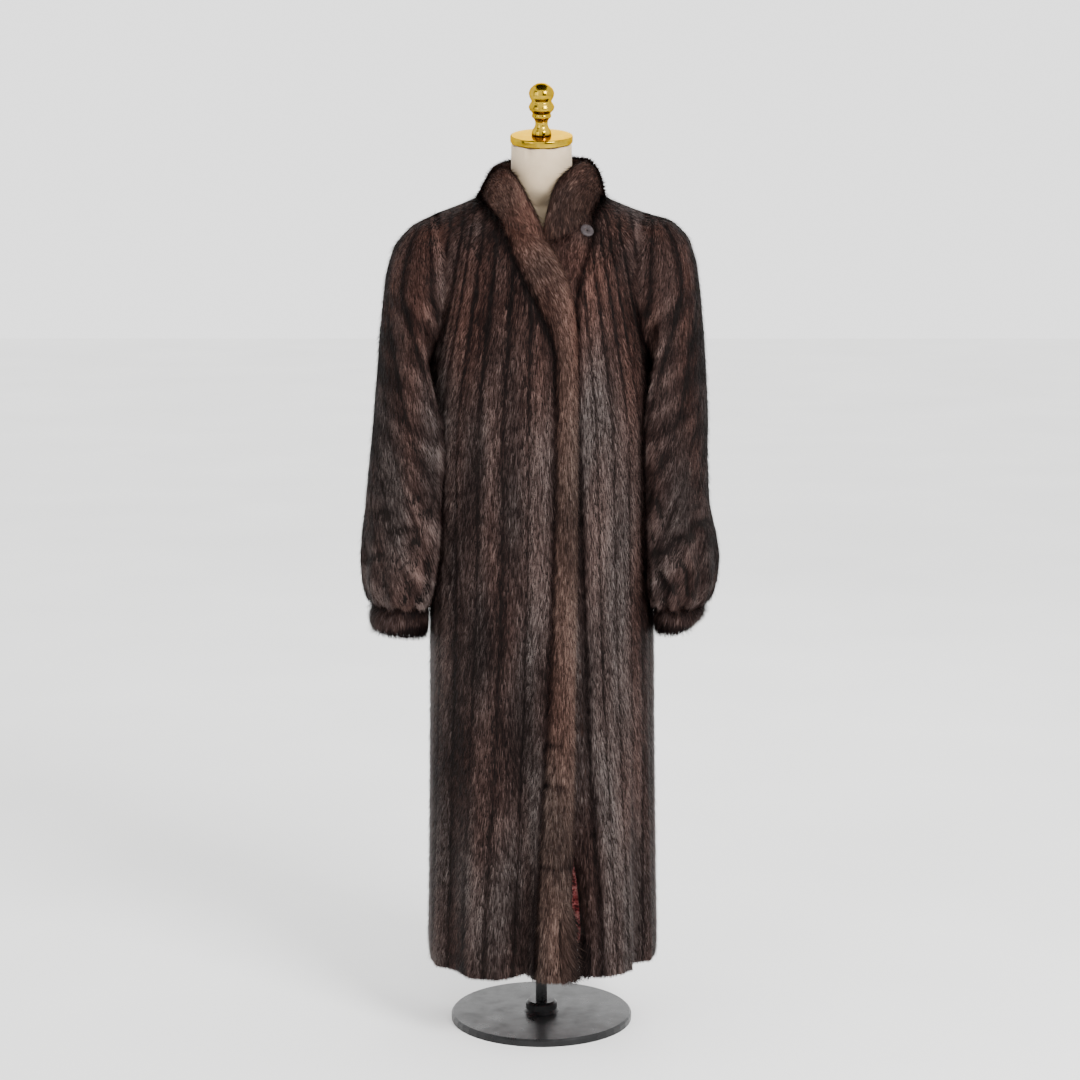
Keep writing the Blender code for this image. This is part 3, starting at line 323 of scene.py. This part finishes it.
def from_spine(points, spine):
    """The way out from a line to each point, the way down it there, and how far down that is."""
    points = np.asarray(points, float)
    nearest = np.full(len(points), np.inf)
    out, down, depth = np.zeros_like(points), np.zeros_like(points), np.zeros(len(points))
    passed = 0.0
    for start, end in zip(spine[:-1], spine[1:]):
        step = end - start
        part = np.clip((points - start) @ step / (step @ step), 0, 1)
        away = points - start - part[:, None] * step
        far = np.linalg.norm(away, axis=1)
        here = far < nearest
        nearest[here], out[here], down[here] = far[here], away[here], unit(step)
        depth[here] = passed + part[here] * np.linalg.norm(step)
        passed += np.linalg.norm(step)
    return unit(out), down, depth


def underfur(name, dark, mid, light):
    """Dense underfur: matt and dark, in fine upright locks that catch a little light."""
    made, tree, shader = finish(name, Roughness=0.9, IOR=1.45, Specular_IOR_Level=0.1)
    where = add(tree, "TexCoord").outputs["Object"]
    # locks 2 mm broad and 16 mm long
    drawn_out = add(tree, "Mapping", {"Scale": (500.0, 500.0, 60.0)}, {"Vector": where})
    locks = add(tree, "TexNoise", {"Scale": 1.0, "Detail": 3.0},
                {"Vector": drawn_out.outputs["Vector"]})
    tree.links.new(ramp(tree, locks.outputs["Fac"], (0.30, dark), (0.55, mid), (0.80, light)),
                   shader.inputs["Base Color"])
    bump(tree, shader, locks.outputs["Fac"], 0.0012, 0.8)
    return made


def count_columns(shape, seams):
    """How many points each point of a wall lies from the seams, and so in which column."""
    column = {v: 0 for v in shape.verts
              if any(seam.find_nearest(v.co, SEAM_REACH)[0] for seam in seams)}
    line = list(column)
    while line:
        beyond = {}
        for vert in line:
            for edge in vert.link_edges:
                other = edge.other_vert(vert)
                if other not in column:
                    beyond[other] = column[vert] + 1
        column.update(beyond)
        line = list(beyond)
    return column


def lay_strips(shape, pelt, seams):
    """Each point's column, and flow, the way that its hair lies. Strips meet on
    even columns and are highest on odd ones."""
    place = shape.verts.layers.float.new("place")
    flow = shape.verts.layers.float_vector.new("flow")
    column = count_columns(shape, seams) if seams else {v: 1 for v in shape.verts}
    for vert, number in column.items():
        vert[place] = number
        way = Vector()
        for edge in vert.link_edges:
            other = edge.other_vert(vert)
            step = other.co - vert.co
            beside = seams and column[other] == number
            if beside and abs(step.normalized().dot(pelt.towards)) > ALONG:
                way += step if step.dot(pelt.towards) > 0 else -step
        vert[flow] = way.normalized() if way.length else pelt.towards


FURRED, LINED, BARE = 0, 1, 2
# A face is furred if it faces outwards by more than this: 1 is straight out, -1 straight in.
FUR_WRAPS = {"border_right": -0.5, "border_left": -0.5, "cuff_right": -0.4, "cuff_left": -0.4,
             "collar": -2.0}
FURRED_ABOVE = 0.05         # on the other pieces
LINED_BELOW = -0.15


def mark_faces(shape, node, neighbours):
    """Fur grows on a wall's outer faces and round a border's edge; the inside is
    lined, and what lies in a seam is bare."""
    middles = [f.calc_center_median() for f in shape.faces]
    out = from_spine(middles, spine_of(node))[0]
    for face, middle, outwards in zip(shape.faces, middles, out):
        faces_out = face.normal.dot(Vector(outwards))
        if any(near.find_nearest(middle, FACE_REACH)[0] for near in neighbours):
            face.material_index = BARE
        elif faces_out > FUR_WRAPS.get(node, FURRED_ABOVE):
            face.material_index = FURRED
        else:
            face.material_index = LINED if faces_out < LINED_BELOW else BARE


# The sleeves' main folds: the x and z of both ends, the breadth and the depth.
FRONT_FOLDS = {
    "sleeve_right": (((-0.228, 0.799), (-0.196, 0.732), 0.006, 0.007),
                     ((-0.187, 0.797), (-0.180, 0.749), 0.006, 0.006),
                     ((-0.258, 0.877), (-0.204, 0.838), 0.011, 0.005),
                     ((-0.198, 0.903), (-0.179, 0.877), 0.009, 0.005),
                     ((-0.281, 0.793), (-0.256, 0.806), 0.007, 0.004)),
    "sleeve_left": (((0.185, 0.893), (0.193, 0.871), 0.008, 0.004),
                    ((0.183, 0.810), (0.259, 0.858), 0.011, 0.005),
                    ((0.189, 0.773), (0.208, 0.754), 0.011, 0.006),
                    ((0.234, 0.788), (0.238, 0.745), 0.007, 0.006)),
}
BACK_FOLDS = {
    "sleeve_right": (((-0.252, 0.812), (-0.236, 0.742), 0.007, 0.006),
                     ((-0.205, 0.780), (-0.214, 0.736), 0.006, 0.005),
                     ((-0.248, 0.904), (-0.196, 0.861), 0.010, 0.005)),
    "sleeve_left": (((0.246, 0.805), (0.228, 0.739), 0.007, 0.006),
                    ((0.199, 0.790), (0.206, 0.748), 0.006, 0.005),
                    ((0.196, 0.878), (0.244, 0.842), 0.010, 0.004)),
}
ON_THIS_SIDE = 0.1          # a point is on a side if its normal has this much of it


def press_folds(shape, folds, facing):
    """Soft troughs in the furred faces of one side, and how far each point lies in one."""
    trough = shape.verts.layers.float.get("trough") or shape.verts.layers.float.new("trough")
    shape.normal_update()
    beside = {v for f in shape.faces if f.material_index != FURRED for v in f.verts}
    for vert in (v for v in shape.verts if v not in beside and v.normal.y * facing > ON_THIS_SIDE):
        here = Vector((vert.co.x, vert.co.z))
        for start, end, breadth, depth in folds:
            run = Vector(end) - Vector(start)
            part = min(max((here - Vector(start)).dot(run) / run.length_squared, 0), 1)
            near = exp(-((here - Vector(start) - part * run).length / breadth) ** 2)
            vert.co -= vert.normal * depth * near
            vert[trough] = max(vert[trough], near)


mink_underfur = underfur("mink_underfur", "#080505", "#120d0b", "#1e1613")
border_underfur = underfur("border_mink_underfur", "#120b09", "#241814", "#362620")

walls = {pelt.node: merged_copy(pelt.node) for pelt in PELTS}
trees = {node: BVHTree.FromBMesh(shape) for node, shape in walls.items()}
pelts = {}
for pelt in PELTS:
    wall = walls[pelt.node]
    wall.normal_update()
    lay_strips(wall, pelt, [trees[node] for node in pelt.counted_from])
    mark_faces(wall, pelt.node, [tree for node, tree in trees.items() if node != pelt.node])
    soften(wall, cuts=2 if pelt.node.startswith("sleeve") else 1, round_angle=radians(75),
           kept_material=BARE, passes=3 if pelt.node.startswith(("front", "back")) else 1)
    press_folds(wall, FRONT_FOLDS.get(pelt.node, ()), -1)
    press_folds(wall, BACK_FOLDS.get(pelt.node, ()), 1)
    under = mink_underfur if pelt.slot == "fur" else border_underfur
    pelts[pelt.node] = new_piece("pelts_" + pelt.node, wall, pelt.slot, under, satin, under)
    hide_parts(pelt.node)


# ---- guard hair ----------------------------------------------------------
# The fur itself: glossy guard hairs, rooted all over the pelts and lying down
# along the strips. Real ones are far finer; each one here is a lock of them,
# a blade 1.2 mm broad at its root.

HAIR_LENGTH = 0.016
HAIR_BREADTH = 0.0013
HAIR_TILT = radians(9)      # it stands off the pelt by this
HAIR_SUNK = 0.0012          # its root lies this deep in the underfur
HAIRS = 480_000             # to a square metre
RUFFLED = 0.15              # the share of the hairs that stand up
LOCKS = (0.45, 0.8)         # how strongly the broad and the fine locks show
ARM_LOCKS = (0.35, 0.6)
LOCKS_IN_STRIP = 8
LOCKS_IN_METRE = 40
BAND_LOCK = (0.005, 0.005, 0.020)       # the size of a lock on borders, collar and cuffs
PARTED_REACH = 0.010        # this near to its neighbour, fur stands up and gets painted shade
STANDS_UP = 0.3             # by so many radians
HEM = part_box("back")[0].z
HEM_FRINGE = 0.005          # hair hangs this far below the hem

# How the strips run on the body and round the sleeves.
TONES = 64                  # each strip has one of these; no piece has more strips
CLOSING_FROM = 0.98         # the strips close up to the neck above this height
CLOSING = 2.6               # by how much
CLOSING_LEAN = 3.9          # and how much they lean for it, 1.5 times as much
NEAR_CLOSING = 0.03         # strips are counted this near to that height
STRIP_PAST_SIDE = 0.028     # the breadth of a strip past the side
SLEEVE_STRIPS = 11          # strips round a sleeve
SLEEVE_SLANT = radians(24)  # its pelts run on the slant
SLEEVE_TURN = 9.0           # strips that the slant crosses in a metre

# Where the fur is dressed differently.
END_FLOW = np.array((0.0, -0.4, -0.9))  # the way that the hair at the collar's ends runs
END_REACH = 0.020
BUSHY = {"border_right": (1, 0.125), "border_left": (-1, 0.075)}    # the side, and how far up
MOUTH, MOUTH_INWARDS = 0.018, 0.013     # painted shade darkens a cuff up to here, and farther on the inside

# How its colour changes over the coat.
PATCH = (0.045, 0.045, 0.18)            # the size of a paler or darker patch
WARM_PATCH = (0.045, 0.045, 0.20)
ARM_PATCH = (0.024, 0.11, 0.11)
PATCH_SLANT = radians(52)   # the arms' patches run more on the slant than the strips
CHEST_FROM, CHEST_RISE = 1.02, 0.16     # the chest is warmer, and the painted shade of its seams broader and deeper
BUST, BUST_REACH = 0.98, 0.25           # where the body is fullest, and a painted sheen lightens it
SHOULDER_FROM, SHOULDER_TOP, SHOULDER_RISE = 0.12, 1.23, 0.06
# where the short pelts of the right border are joined: the height, and how far round it shows
JOINS = ((0.512, 0.2), (0.446, 0.3), (0.315, 1.0))
JOIN_REACH = 0.004
# the fur of these pieces is made paler or darker than on the others
PALER = {"front_right": 0.03, "front_left": 0.09, "border_right": 0.05, "collar": 0.06,
         "sleeve_right": 0.12, "sleeve_left": 0.02, "cuff_right": -0.06, "cuff_left": -0.06}


def mink(name, greys, browns):
    """Guard hair: dark and clear at the root, paler to the tip, with a soft gloss."""
    made, tree, shader = finish(name, Roughness=0.5, IOR=1.5, Specular_IOR_Level=0.06,
                                Specular_Tint=linear("#e8dcd6"))
    shade = add(tree, "Attribute", {"attribute_name": "shade"}).outputs["Fac"]
    warmth = add(tree, "Attribute", {"attribute_name": "warmth"}).outputs["Fac"]
    along = add(tree, "Attribute", {"attribute_name": "along"}).outputs["Fac"]
    grey, brown = ramp(tree, shade, *greys), ramp(tree, shade, *browns)
    colour = add(tree, "MixRGB", {"blend_type": "MIX"},
                 {"Fac": warmth, "Color1": grey, "Color2": brown})
    depth = ramp(tree, along, (0.0, "#8c8c8c"), (0.5, "#f4f4f4"), (1.0, "#ffffff"))
    drawn = add(tree, "MixRGB", {"blend_type": "MULTIPLY", "Fac": 1.0},
                {"Color1": colour.outputs["Color"], "Color2": depth})
    tree.links.new(drawn.outputs["Color"], shader.inputs["Base Color"])
    return made


def read(mesh, name, width):
    """An attribute of a mesh's points as rows of numbers."""
    values = np.empty(len(mesh.vertices) * width)
    mesh.attributes[name].data.foreach_get("vector" if width == 3 else "value", values)
    return values.reshape(-1, width) if width == 3 else values


def roots_on(mesh, wanted, per_area, rng):
    """Evenly spread places on a pelt's furred faces: each one's triangle, and its
    shares of the corners."""
    mesh.calc_loop_triangles()
    count = len(mesh.loop_triangles)
    corners, areas, face = np.empty(count * 3, int), np.empty(count), np.empty(count, int)
    mesh.loop_triangles.foreach_get("vertices", corners)
    mesh.loop_triangles.foreach_get("area", areas)
    mesh.loop_triangles.foreach_get("polygon_index", face)
    material = np.empty(len(mesh.polygons), int)
    mesh.polygons.foreach_get("material_index", material)
    corners = corners.reshape(-1, 3)
    points = read(mesh, "position", 3)
    furred = (material[face] == FURRED) & wanted(points[corners].mean(axis=1))
    corners, upto = corners[furred], np.cumsum(areas[furred])
    hairs = int(upto[-1] * per_area)
    places = (np.arange(hairs) + rng.random(hairs)) / hairs * upto[-1]
    chosen = corners[np.searchsorted(upto, places)]
    first, second = np.sqrt(rng.random(hairs)), rng.random(hairs)
    shares = np.stack([1 - first, first * (1 - second), first * second], axis=1)
    return chosen, shares


def waves(points, scale, seed):
    """Smooth noise from -1 to 1 at each point, in steps of the scale's metres."""
    spaced = points / np.array(scale) + seed * 17.3
    return np.array([noise.noise(place) for place in spaced.tolist()])


def plant(skin, wanted, rng):
    """The roots of a pelt's hairs, with the normal, place, flow and fold at each."""
    chosen, shares = roots_on(skin, wanted, HAIRS, rng)

    def at_roots(values):
        return np.einsum("hc,hcx->hx" if values.ndim == 2 else "hc,hc->h", shares, values[chosen])

    normals = np.empty(len(skin.vertices) * 3)
    skin.vertices.foreach_get("normal", normals)
    return (at_roots(read(skin, "position", 3)), unit(at_roots(normals.reshape(-1, 3))),
            at_roots(read(skin, "place", 1)), at_roots(read(skin, "flow", 3)),
            at_roots(read(skin, "trough", 1)))


def on_sleeve(root, node):
    """The strip and flow of each root on a sleeve, how far down it is, how much it
    faces away from the body, and how far out it lies."""
    turn = -1 if node.endswith("right") else 1
    out, down, far = from_spine(root, spine_of(node))
    around = np.cross(down, out) * turn
    flow = down * np.cos(SLEEVE_SLANT) + around * np.sin(SLEEVE_SLANT)
    angle = np.arctan2(out[:, 0] * turn, -out[:, 1]) / (2 * pi)
    return angle * SLEEVE_STRIPS + far * SLEEVE_TURN, flow, far, out[:, 0] * turn, root[:, 0] * turn


def cuff_mouth_shade(node, root):
    """1 in the painted shade at a cuff's mouth, which reaches higher on the side of the body."""
    low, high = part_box(node)
    inwards = (root[:, 0] - low.x) / (high.x - low.x)
    inwards = inwards if node == "cuff_right" else 1 - inwards
    return np.clip((low.z + MOUTH + MOUTH_INWARDS * inwards - root[:, 2]) / 0.005, 0, 1)


def arm_patches(outer, far, across):
    """Pale and dark patches that run from a sleeve's outside down to its inside."""
    slantwise = np.stack([outer * cos(PATCH_SLANT) + far * sin(PATCH_SLANT),
                          far * cos(PATCH_SLANT) - outer * sin(PATCH_SLANT), across], axis=1)
    return 1.2 * waves(slantwise, ARM_PATCH, 3)


def blades(name, points, values, normals, material):
    """A mesh of hairs, three points each, with their colour values and their shading."""
    hairs = len(points)
    mesh = bpy.data.meshes.new(name)
    mesh.from_pydata(points.reshape(-1, 3), [], np.arange(3 * hairs).reshape(-1, 3))
    for label, numbers in values.items():
        mesh.attributes.new(label, "FLOAT", "POINT").data.foreach_set("value", numbers)
    # each hair has a cell of its own in the map
    side = int(np.ceil(np.sqrt(hairs)))
    cell = np.stack([np.arange(hairs) % side, np.arange(hairs) // side], axis=1)[:, None, :]
    in_cell = np.array([[0.1, 0.1], [0.9, 0.1], [0.5, 0.9]])[None]
    mesh.uv_layers.new(name="OFBake").uv.foreach_set("vector", ((cell + in_cell) / side).ravel())
    mesh.materials.append(material)
    mesh.shade_smooth()
    mesh.normals_split_custom_set_from_vertices(normals)
    return mesh


def grow_fur(name, node, material, wanted, seed, fringe=HEM_FRINGE):
    """The guard hair of a piece, or of the part of it that is wanted."""
    rng = np.random.default_rng(seed)
    root, normal, place, flow, trough = plant(pelts[node].data, wanted, rng)
    hairs = len(root)
    arm = node.startswith("sleeve")
    body = node.startswith(("front", "back"))
    strip, far = place / 2, -root[:, 2]
    if body:
        strip, flow = to_neck(root, normal, strip, flow)
    if arm:
        strip, flow, far, faces_away, outer = on_sleeve(root, node)
    if body or arm:
        ridge = 1 - np.abs(2 * (strip % 1) - 1)
        tones = rng.uniform(-0.5, 0.5, TONES)
        tone = tones[np.floor(strip).astype(int) % TONES] * (0.9 if arm else 1)
        on_strip = np.stack([strip * LOCKS_IN_STRIP, far * LOCKS_IN_METRE, strip * 0], axis=1)
    else:
        ridge, tone, on_strip = np.ones(hairs), 0.0, root / BAND_LOCK
    flow = unit(flow - normal * np.sum(flow * normal, axis=1, keepdims=True))
    across = np.cross(normal, flow)

    # locks run on down a strip, past the ends of their hairs
    broad, fine = ARM_LOCKS if arm else LOCKS
    locks = broad * waves(on_strip, 1.0, 5) + fine * waves(on_strip, 0.4, 9)
    lean = 0.05 * waves(root, (0.010, 0.010, 0.040), 1) + rng.normal(0, 0.05, hairs)
    tilt = HAIR_TILT * (0.6 + 0.4 * ridge) * rng.uniform(0.6, 1.5, hairs)
    long = HAIR_LENGTH * rng.uniform(0.7, 1.15, hairs)
    close_by = closeness(root, parted_from(node), PARTED_REACH)
    tilt = tilt + STANDS_UP * close_by      # it hides the seam
    tilt = tilt + (rng.random(hairs) < RUFFLED) * rng.uniform(0.1, 0.4, hairs)
    face = normal
    if node == "collar":
        # its ends run on into the borders
        end = closeness(root, BORDERS, END_REACH)
        flow = unit(flow * (1 - end)[:, None] + END_FLOW * end[:, None])
        long = long * (1 + 0.8 * end)
    if node.startswith("cuff"):
        # painted shade at the cuff's mouth
        close_by = np.maximum(close_by, cuff_mouth_shade(node, root))
    if node in BUSHY:
        # the ends of the free edges are bushy and close the slit, and painted shade darkens them
        side, upto = BUSHY[node]
        bushy = np.clip((HEM + upto - root[:, 2]) / 0.02, 0, 1) * (normal[:, 0] * side > 0.3)
        tilt, long = tilt + 0.5 * bushy, long * (1 + 0.7 * bushy)
        face = unit(normal + 3 * bushy[:, None] * np.array([0.0, -1.0, 0.0]))
        close_by = np.maximum(close_by, bushy * 0.8)
    way = unit(flow * np.cos(tilt)[:, None] + normal * np.sin(tilt)[:, None]
               + across * lean[:, None])
    across = unit(np.cross(face, way))
    if fringe is not None:
        to_fringe = root[:, 2] - HEM + fringe * rng.uniform(0.3, 1.0, hairs)
        long = np.minimum(long, to_fringe / np.maximum(-way[:, 2], 0.2))
    half = across * HAIR_BREADTH / 2 * rng.uniform(0.7, 1.3, hairs)[:, None]
    start = root - normal * HAIR_SUNK
    points = np.stack([start + half, start - half, start + way * long[:, None]], axis=1)

    high = np.clip((root[:, 2] - CHEST_FROM) / CHEST_RISE, 0, 1)
    chest = high * (body or arm)
    # painted shade darkens the seams between strips and between pieces; the sleeves are set in so
    # smoothly that no seam between pieces shows on the shoulders
    below = np.clip((SHOULDER_TOP - root[:, 2]) / SHOULDER_RISE, 0, 1)
    shown = np.where(np.abs(root[:, 0]) > SHOULDER_FROM, below, 1.0)
    seam = np.maximum(np.clip(1 - ridge / (0.25 + 0.15 * chest), 0, 1), 1.3 * close_by * shown)
    patches = arm_patches(outer, far, root[:, 1]) if arm else waves(root, PATCH, 3)
    # a painted sheen over the fullest part of the body
    painted_bust_sheen = np.clip(1 - np.abs(root[:, 2] - BUST) / BUST_REACH, 0, 1) * body
    # painted shade darkens the fur in the folds' troughs and along the seams
    shade = (0.50 + PALER.get(node, 0) + 0.26 * tone + 0.36 * patches + 0.46 * locks + 0.08 * painted_bust_sheen
             - ((0.24 if arm else 0.36) + 0.28 * chest) * seam - 0.8 * trough ** 3
             + rng.normal(0, 0.14, hairs))
    if arm:
        # darker on the arm's outside, and paler below the elbow
        shade -= 0.20 * np.clip(faces_away, 0, 1)
        shade += 0.10 * np.clip((1.0 - root[:, 2]) / 0.15, 0, 1)
    if node == "collar":
        shade -= 0.22 * np.clip(root[:, 0] / 0.04, 0, 1)    # darker towards its left end
    if node == "border_right":
        for height, reach in JOINS:
            join = np.exp(-((root[:, 2] - height) / JOIN_REACH) ** 2)
            shade -= 0.5 * join * (normal[:, 0] < reach)
    warmth = 0.24 + 0.6 * waves(root, WARM_PATCH, 7) + 0.45 * high - 0.3 * tone
    values = {"shade": np.repeat(np.clip(shade, 0, 1), 3),
              "warmth": np.repeat(np.clip(warmth, 0, 1), 3),
              "along": np.tile([0.0, 0.0, 1.0], hairs)}
    # each blade is shaded as if it were round, and its lock too
    rounding = np.array([0.4, -0.4, 0.0])[None, :, None] * across[:, None, :]
    jitter = (rng.normal(0, 0.15, (hairs, 1, 3))
              + 0.5 * locks[:, None, None] * across[:, None, :])
    normals = unit(face[:, None, :] + rounding + jitter).reshape(-1, 3)
    made = bpy.data.objects.new(name, blades(name, points, values, normals, material))
    bpy.context.scene.collection.objects.link(made)
    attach(made, "root")
    return made


def to_neck(root, normal, strip, flow):
    """Above the waist the strips run on straight and close up to the neck, and those
    at the side end at the armhole."""
    x, y, z = root.T
    level = (np.abs(z - CLOSING_FROM) < NEAR_CLOSING) & (np.abs(normal[:, 1]) > 0.5)
    order = np.argsort(x[level])
    above = np.maximum(z - CLOSING_FROM, 0)
    closing = 1 + CLOSING * above ** 1.5
    inside = np.clip(x * closing, x[level].min(), x[level].max())
    side = strip[level][order]
    widening = np.sign(side[-1] - side[0]) / STRIP_PAST_SIDE
    at_waist = np.interp(inside, x[level][order], side) + (x * closing - inside) * widening
    straight = np.stack([x * CLOSING_LEAN * above ** 0.5 / closing, y * 0, y * 0 - 1], axis=1)
    high = above > 0
    return np.where(high, at_waist, strip), np.where(high[:, None], straight, flow)


def parted_from(node):
    """The pieces along whose seam with this one the fur parts and gets painted shade."""
    band = BORDERS + ("collar",)
    return [other for other in trees if other != node and not (node in band and other in band)]


def closeness(roots, others, reach):
    """1 where a root touches one of some other pieces, down to 0 out of its reach."""
    near = np.zeros(len(roots))
    for other in others:
        low, high = (np.array(corner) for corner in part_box(other))
        close_by = np.flatnonzero(((roots > low - reach) & (roots < high + reach)).all(axis=1))
        for at, place in zip(close_by, roots[close_by].tolist()):
            away = trees[other].find_nearest(place, reach)[3]
            if away is not None:
                near[at] = max(near[at], 1 - away / reach)
    return near


def everywhere(points):
    """All of a piece is wanted."""
    return np.ones(len(points), bool)


def right_half(points):
    return points[:, 0] < 0


def left_half(points):
    return points[:, 0] >= 0


dark_mink = mink("dark_mink",
                 ((0.0, "#090606"), (0.35, "#211918"), (0.7, "#403735"), (1.0, "#635a57")),
                 ((0.0, "#0c0707"), (0.35, "#291916"), (0.7, "#4a332d"), (1.0, "#6c4f47")))
warm_mink = mink("warm_border_mink",
                 ((0.0, "#0c0808"), (0.35, "#2a201d"), (0.7, "#4c3f39"), (1.0, "#6b5d56")),
                 ((0.0, "#100908"), (0.35, "#33201b"), (0.7, "#573c34"), (1.0, "#7a5a4f")))

fur = {"back": [grow_fur("fur_back_right", "back", dark_mink, right_half, 20),
                grow_fur("fur_back_left", "back", dark_mink, left_half, 21)]}
for number, pelt in enumerate(PELTS):
    if pelt.node != "back":
        hair = warm_mink if pelt.node in ("border_right", "collar") else dark_mink
        on_body = pelt.node.startswith(("front", "border"))
        fur[pelt.node] = [grow_fur("fur_" + pelt.node, pelt.node, hair, everywhere, 30 + number,
                                   fringe=HEM_FRINGE if on_body else None)]


# ---- button --------------------------------------------------------------
# A dished round button of grey horn, sewn on through a hole in its middle.

def grey_horn(middle):
    """Polished horn: pale grey with a faint cloud in it, and the dark thread in its middle."""
    made, tree, shader = finish("grey_horn", Roughness=0.5, IOR=1.5, Specular_IOR_Level=0.12)
    where = add(tree, "TexCoord").outputs["Object"]
    cloud = add(tree, "TexNoise", {"Scale": 180.0, "Detail": 4.0}, {"Vector": where})
    away = add(tree, "VectorMath", {"operation": "DISTANCE"}, {0: where})
    away.inputs[1].default_value = middle
    reach = add(tree, "MapRange", {"From Max": 0.011}, {"Value": away.outputs["Value"]})
    thread = ramp(tree, reach.outputs["Result"], (0.12, "#2a2422"), (0.18, "#ffffff"))
    grey = ramp(tree, cloud.outputs["Fac"], (0.3, "#2b2627"), (0.7, "#3f393a"))
    both = add(tree, "MixRGB", {"blend_type": "MULTIPLY", "Fac": 1.0},
               {"Color1": grey, "Color2": thread})
    tree.links.new(both.outputs["Color"], shader.inputs["Base Color"])
    return made


button_low, button_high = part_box("button")
dress("button", grey_horn((button_low + button_high) / 2))


# ---- floor, light and camera ---------------------------------------------
# A plain pale studio floor, broad soft lights, and the camera at chest height.

def studio_floor():
    """Matt painted floor, very pale."""
    made, tree, shader = finish("pale_floor", Roughness=0.9)
    where = add(tree, "TexCoord").outputs["Object"]
    cloud = add(tree, "TexNoise", {"Scale": 1.5, "Detail": 2.0}, {"Vector": where})
    tree.links.new(ramp(tree, cloud.outputs["Fac"], (0.3, "#f0f0ef"), (0.7, "#f6f6f5")),
                   shader.inputs["Base Color"])
    return made


def soft_light(name, place, aim, size, power):
    """A square panel of light, aimed at a point."""
    lamp = bpy.data.lights.new(name, "AREA")
    lamp.size = size
    lamp.energy = power
    made = bpy.data.objects.new(name, lamp)
    made.location = place
    made.rotation_euler = (Vector(aim) - Vector(place)).to_track_quat("-Z", "Y").to_euler()
    bpy.context.scene.collection.objects.link(made)


floor_shape = bmesh.new()
bmesh.ops.create_grid(floor_shape, x_segments=1, y_segments=1, size=12.0)
floor_mesh = bpy.data.meshes.new("floor")
floor_shape.to_mesh(floor_mesh)
floor_shape.free()
floor_mesh.materials.append(studio_floor())
floor = bpy.data.objects.new("floor", floor_mesh)
bpy.context.scene.collection.objects.link(floor)

soft_light("key", (2.3, -3.3, 3.2), (0, 0, 0.9), 1.6, 370.0)
soft_light("fill", (-2.8, -2.6, 1.8), (0, 0, 0.8), 2.4, 60.0)
soft_light("back", (0.6, 2.8, 2.8), (0, 0, 1.0), 2.0, 40.0)

black_paper = finish("black_paper", Base_Color=linear("#0c0c0c"), Roughness=0.9)[0]


def black_card(name, place, size):
    """A black card facing the coat, so that the brass has something dark to mirror."""
    shape = bmesh.new()
    bmesh.ops.create_grid(shape, x_segments=1, y_segments=1, size=0.5)
    bmesh.ops.scale(shape, vec=(size[0], size[1], 1.0), verts=shape.verts)
    facing = (Vector((0, 0, place[2])) - Vector(place)) if place[1] else Vector((0, 0, -1))
    turn = facing.to_track_quat("Z", "Y").to_matrix()
    bmesh.ops.rotate(shape, matrix=turn, verts=shape.verts)
    bmesh.ops.translate(shape, vec=place, verts=shape.verts)
    mesh = bpy.data.meshes.new(name)
    shape.to_mesh(mesh)
    shape.free()
    mesh.materials.append(black_paper)
    made = bpy.data.objects.new(name, mesh)
    made.visible_camera = False
    bpy.context.scene.collection.objects.link(made)


black_card("black_card_right", (2.5, -4.8, 3.1), (3.2, 6.0))
black_card("black_card_left", (-4.7, -2.7, 3.1), (3.2, 6.0))
black_card("black_card_above", (0.0, 0.0, 4.2), (3.4, 3.4))

world = bpy.data.worlds.new("studio")
world.use_nodes = True
world.node_tree.nodes["Background"].inputs["Color"].default_value = (1.0, 1.0, 1.0, 1.0)
world.node_tree.nodes["Background"].inputs["Strength"].default_value = 2.2
bpy.context.scene.world = world

eye = bpy.data.cameras.new("eye")
eye.lens = 93.7
eye.sensor_width = 36.0
camera = bpy.data.objects.new("camera", eye)
camera.location = (-0.0024, -4.5, 1.56)
camera.rotation_euler = (radians(80.5), 0.0, 0.0)
bpy.context.scene.collection.objects.link(camera)
bpy.context.scene.camera = camera
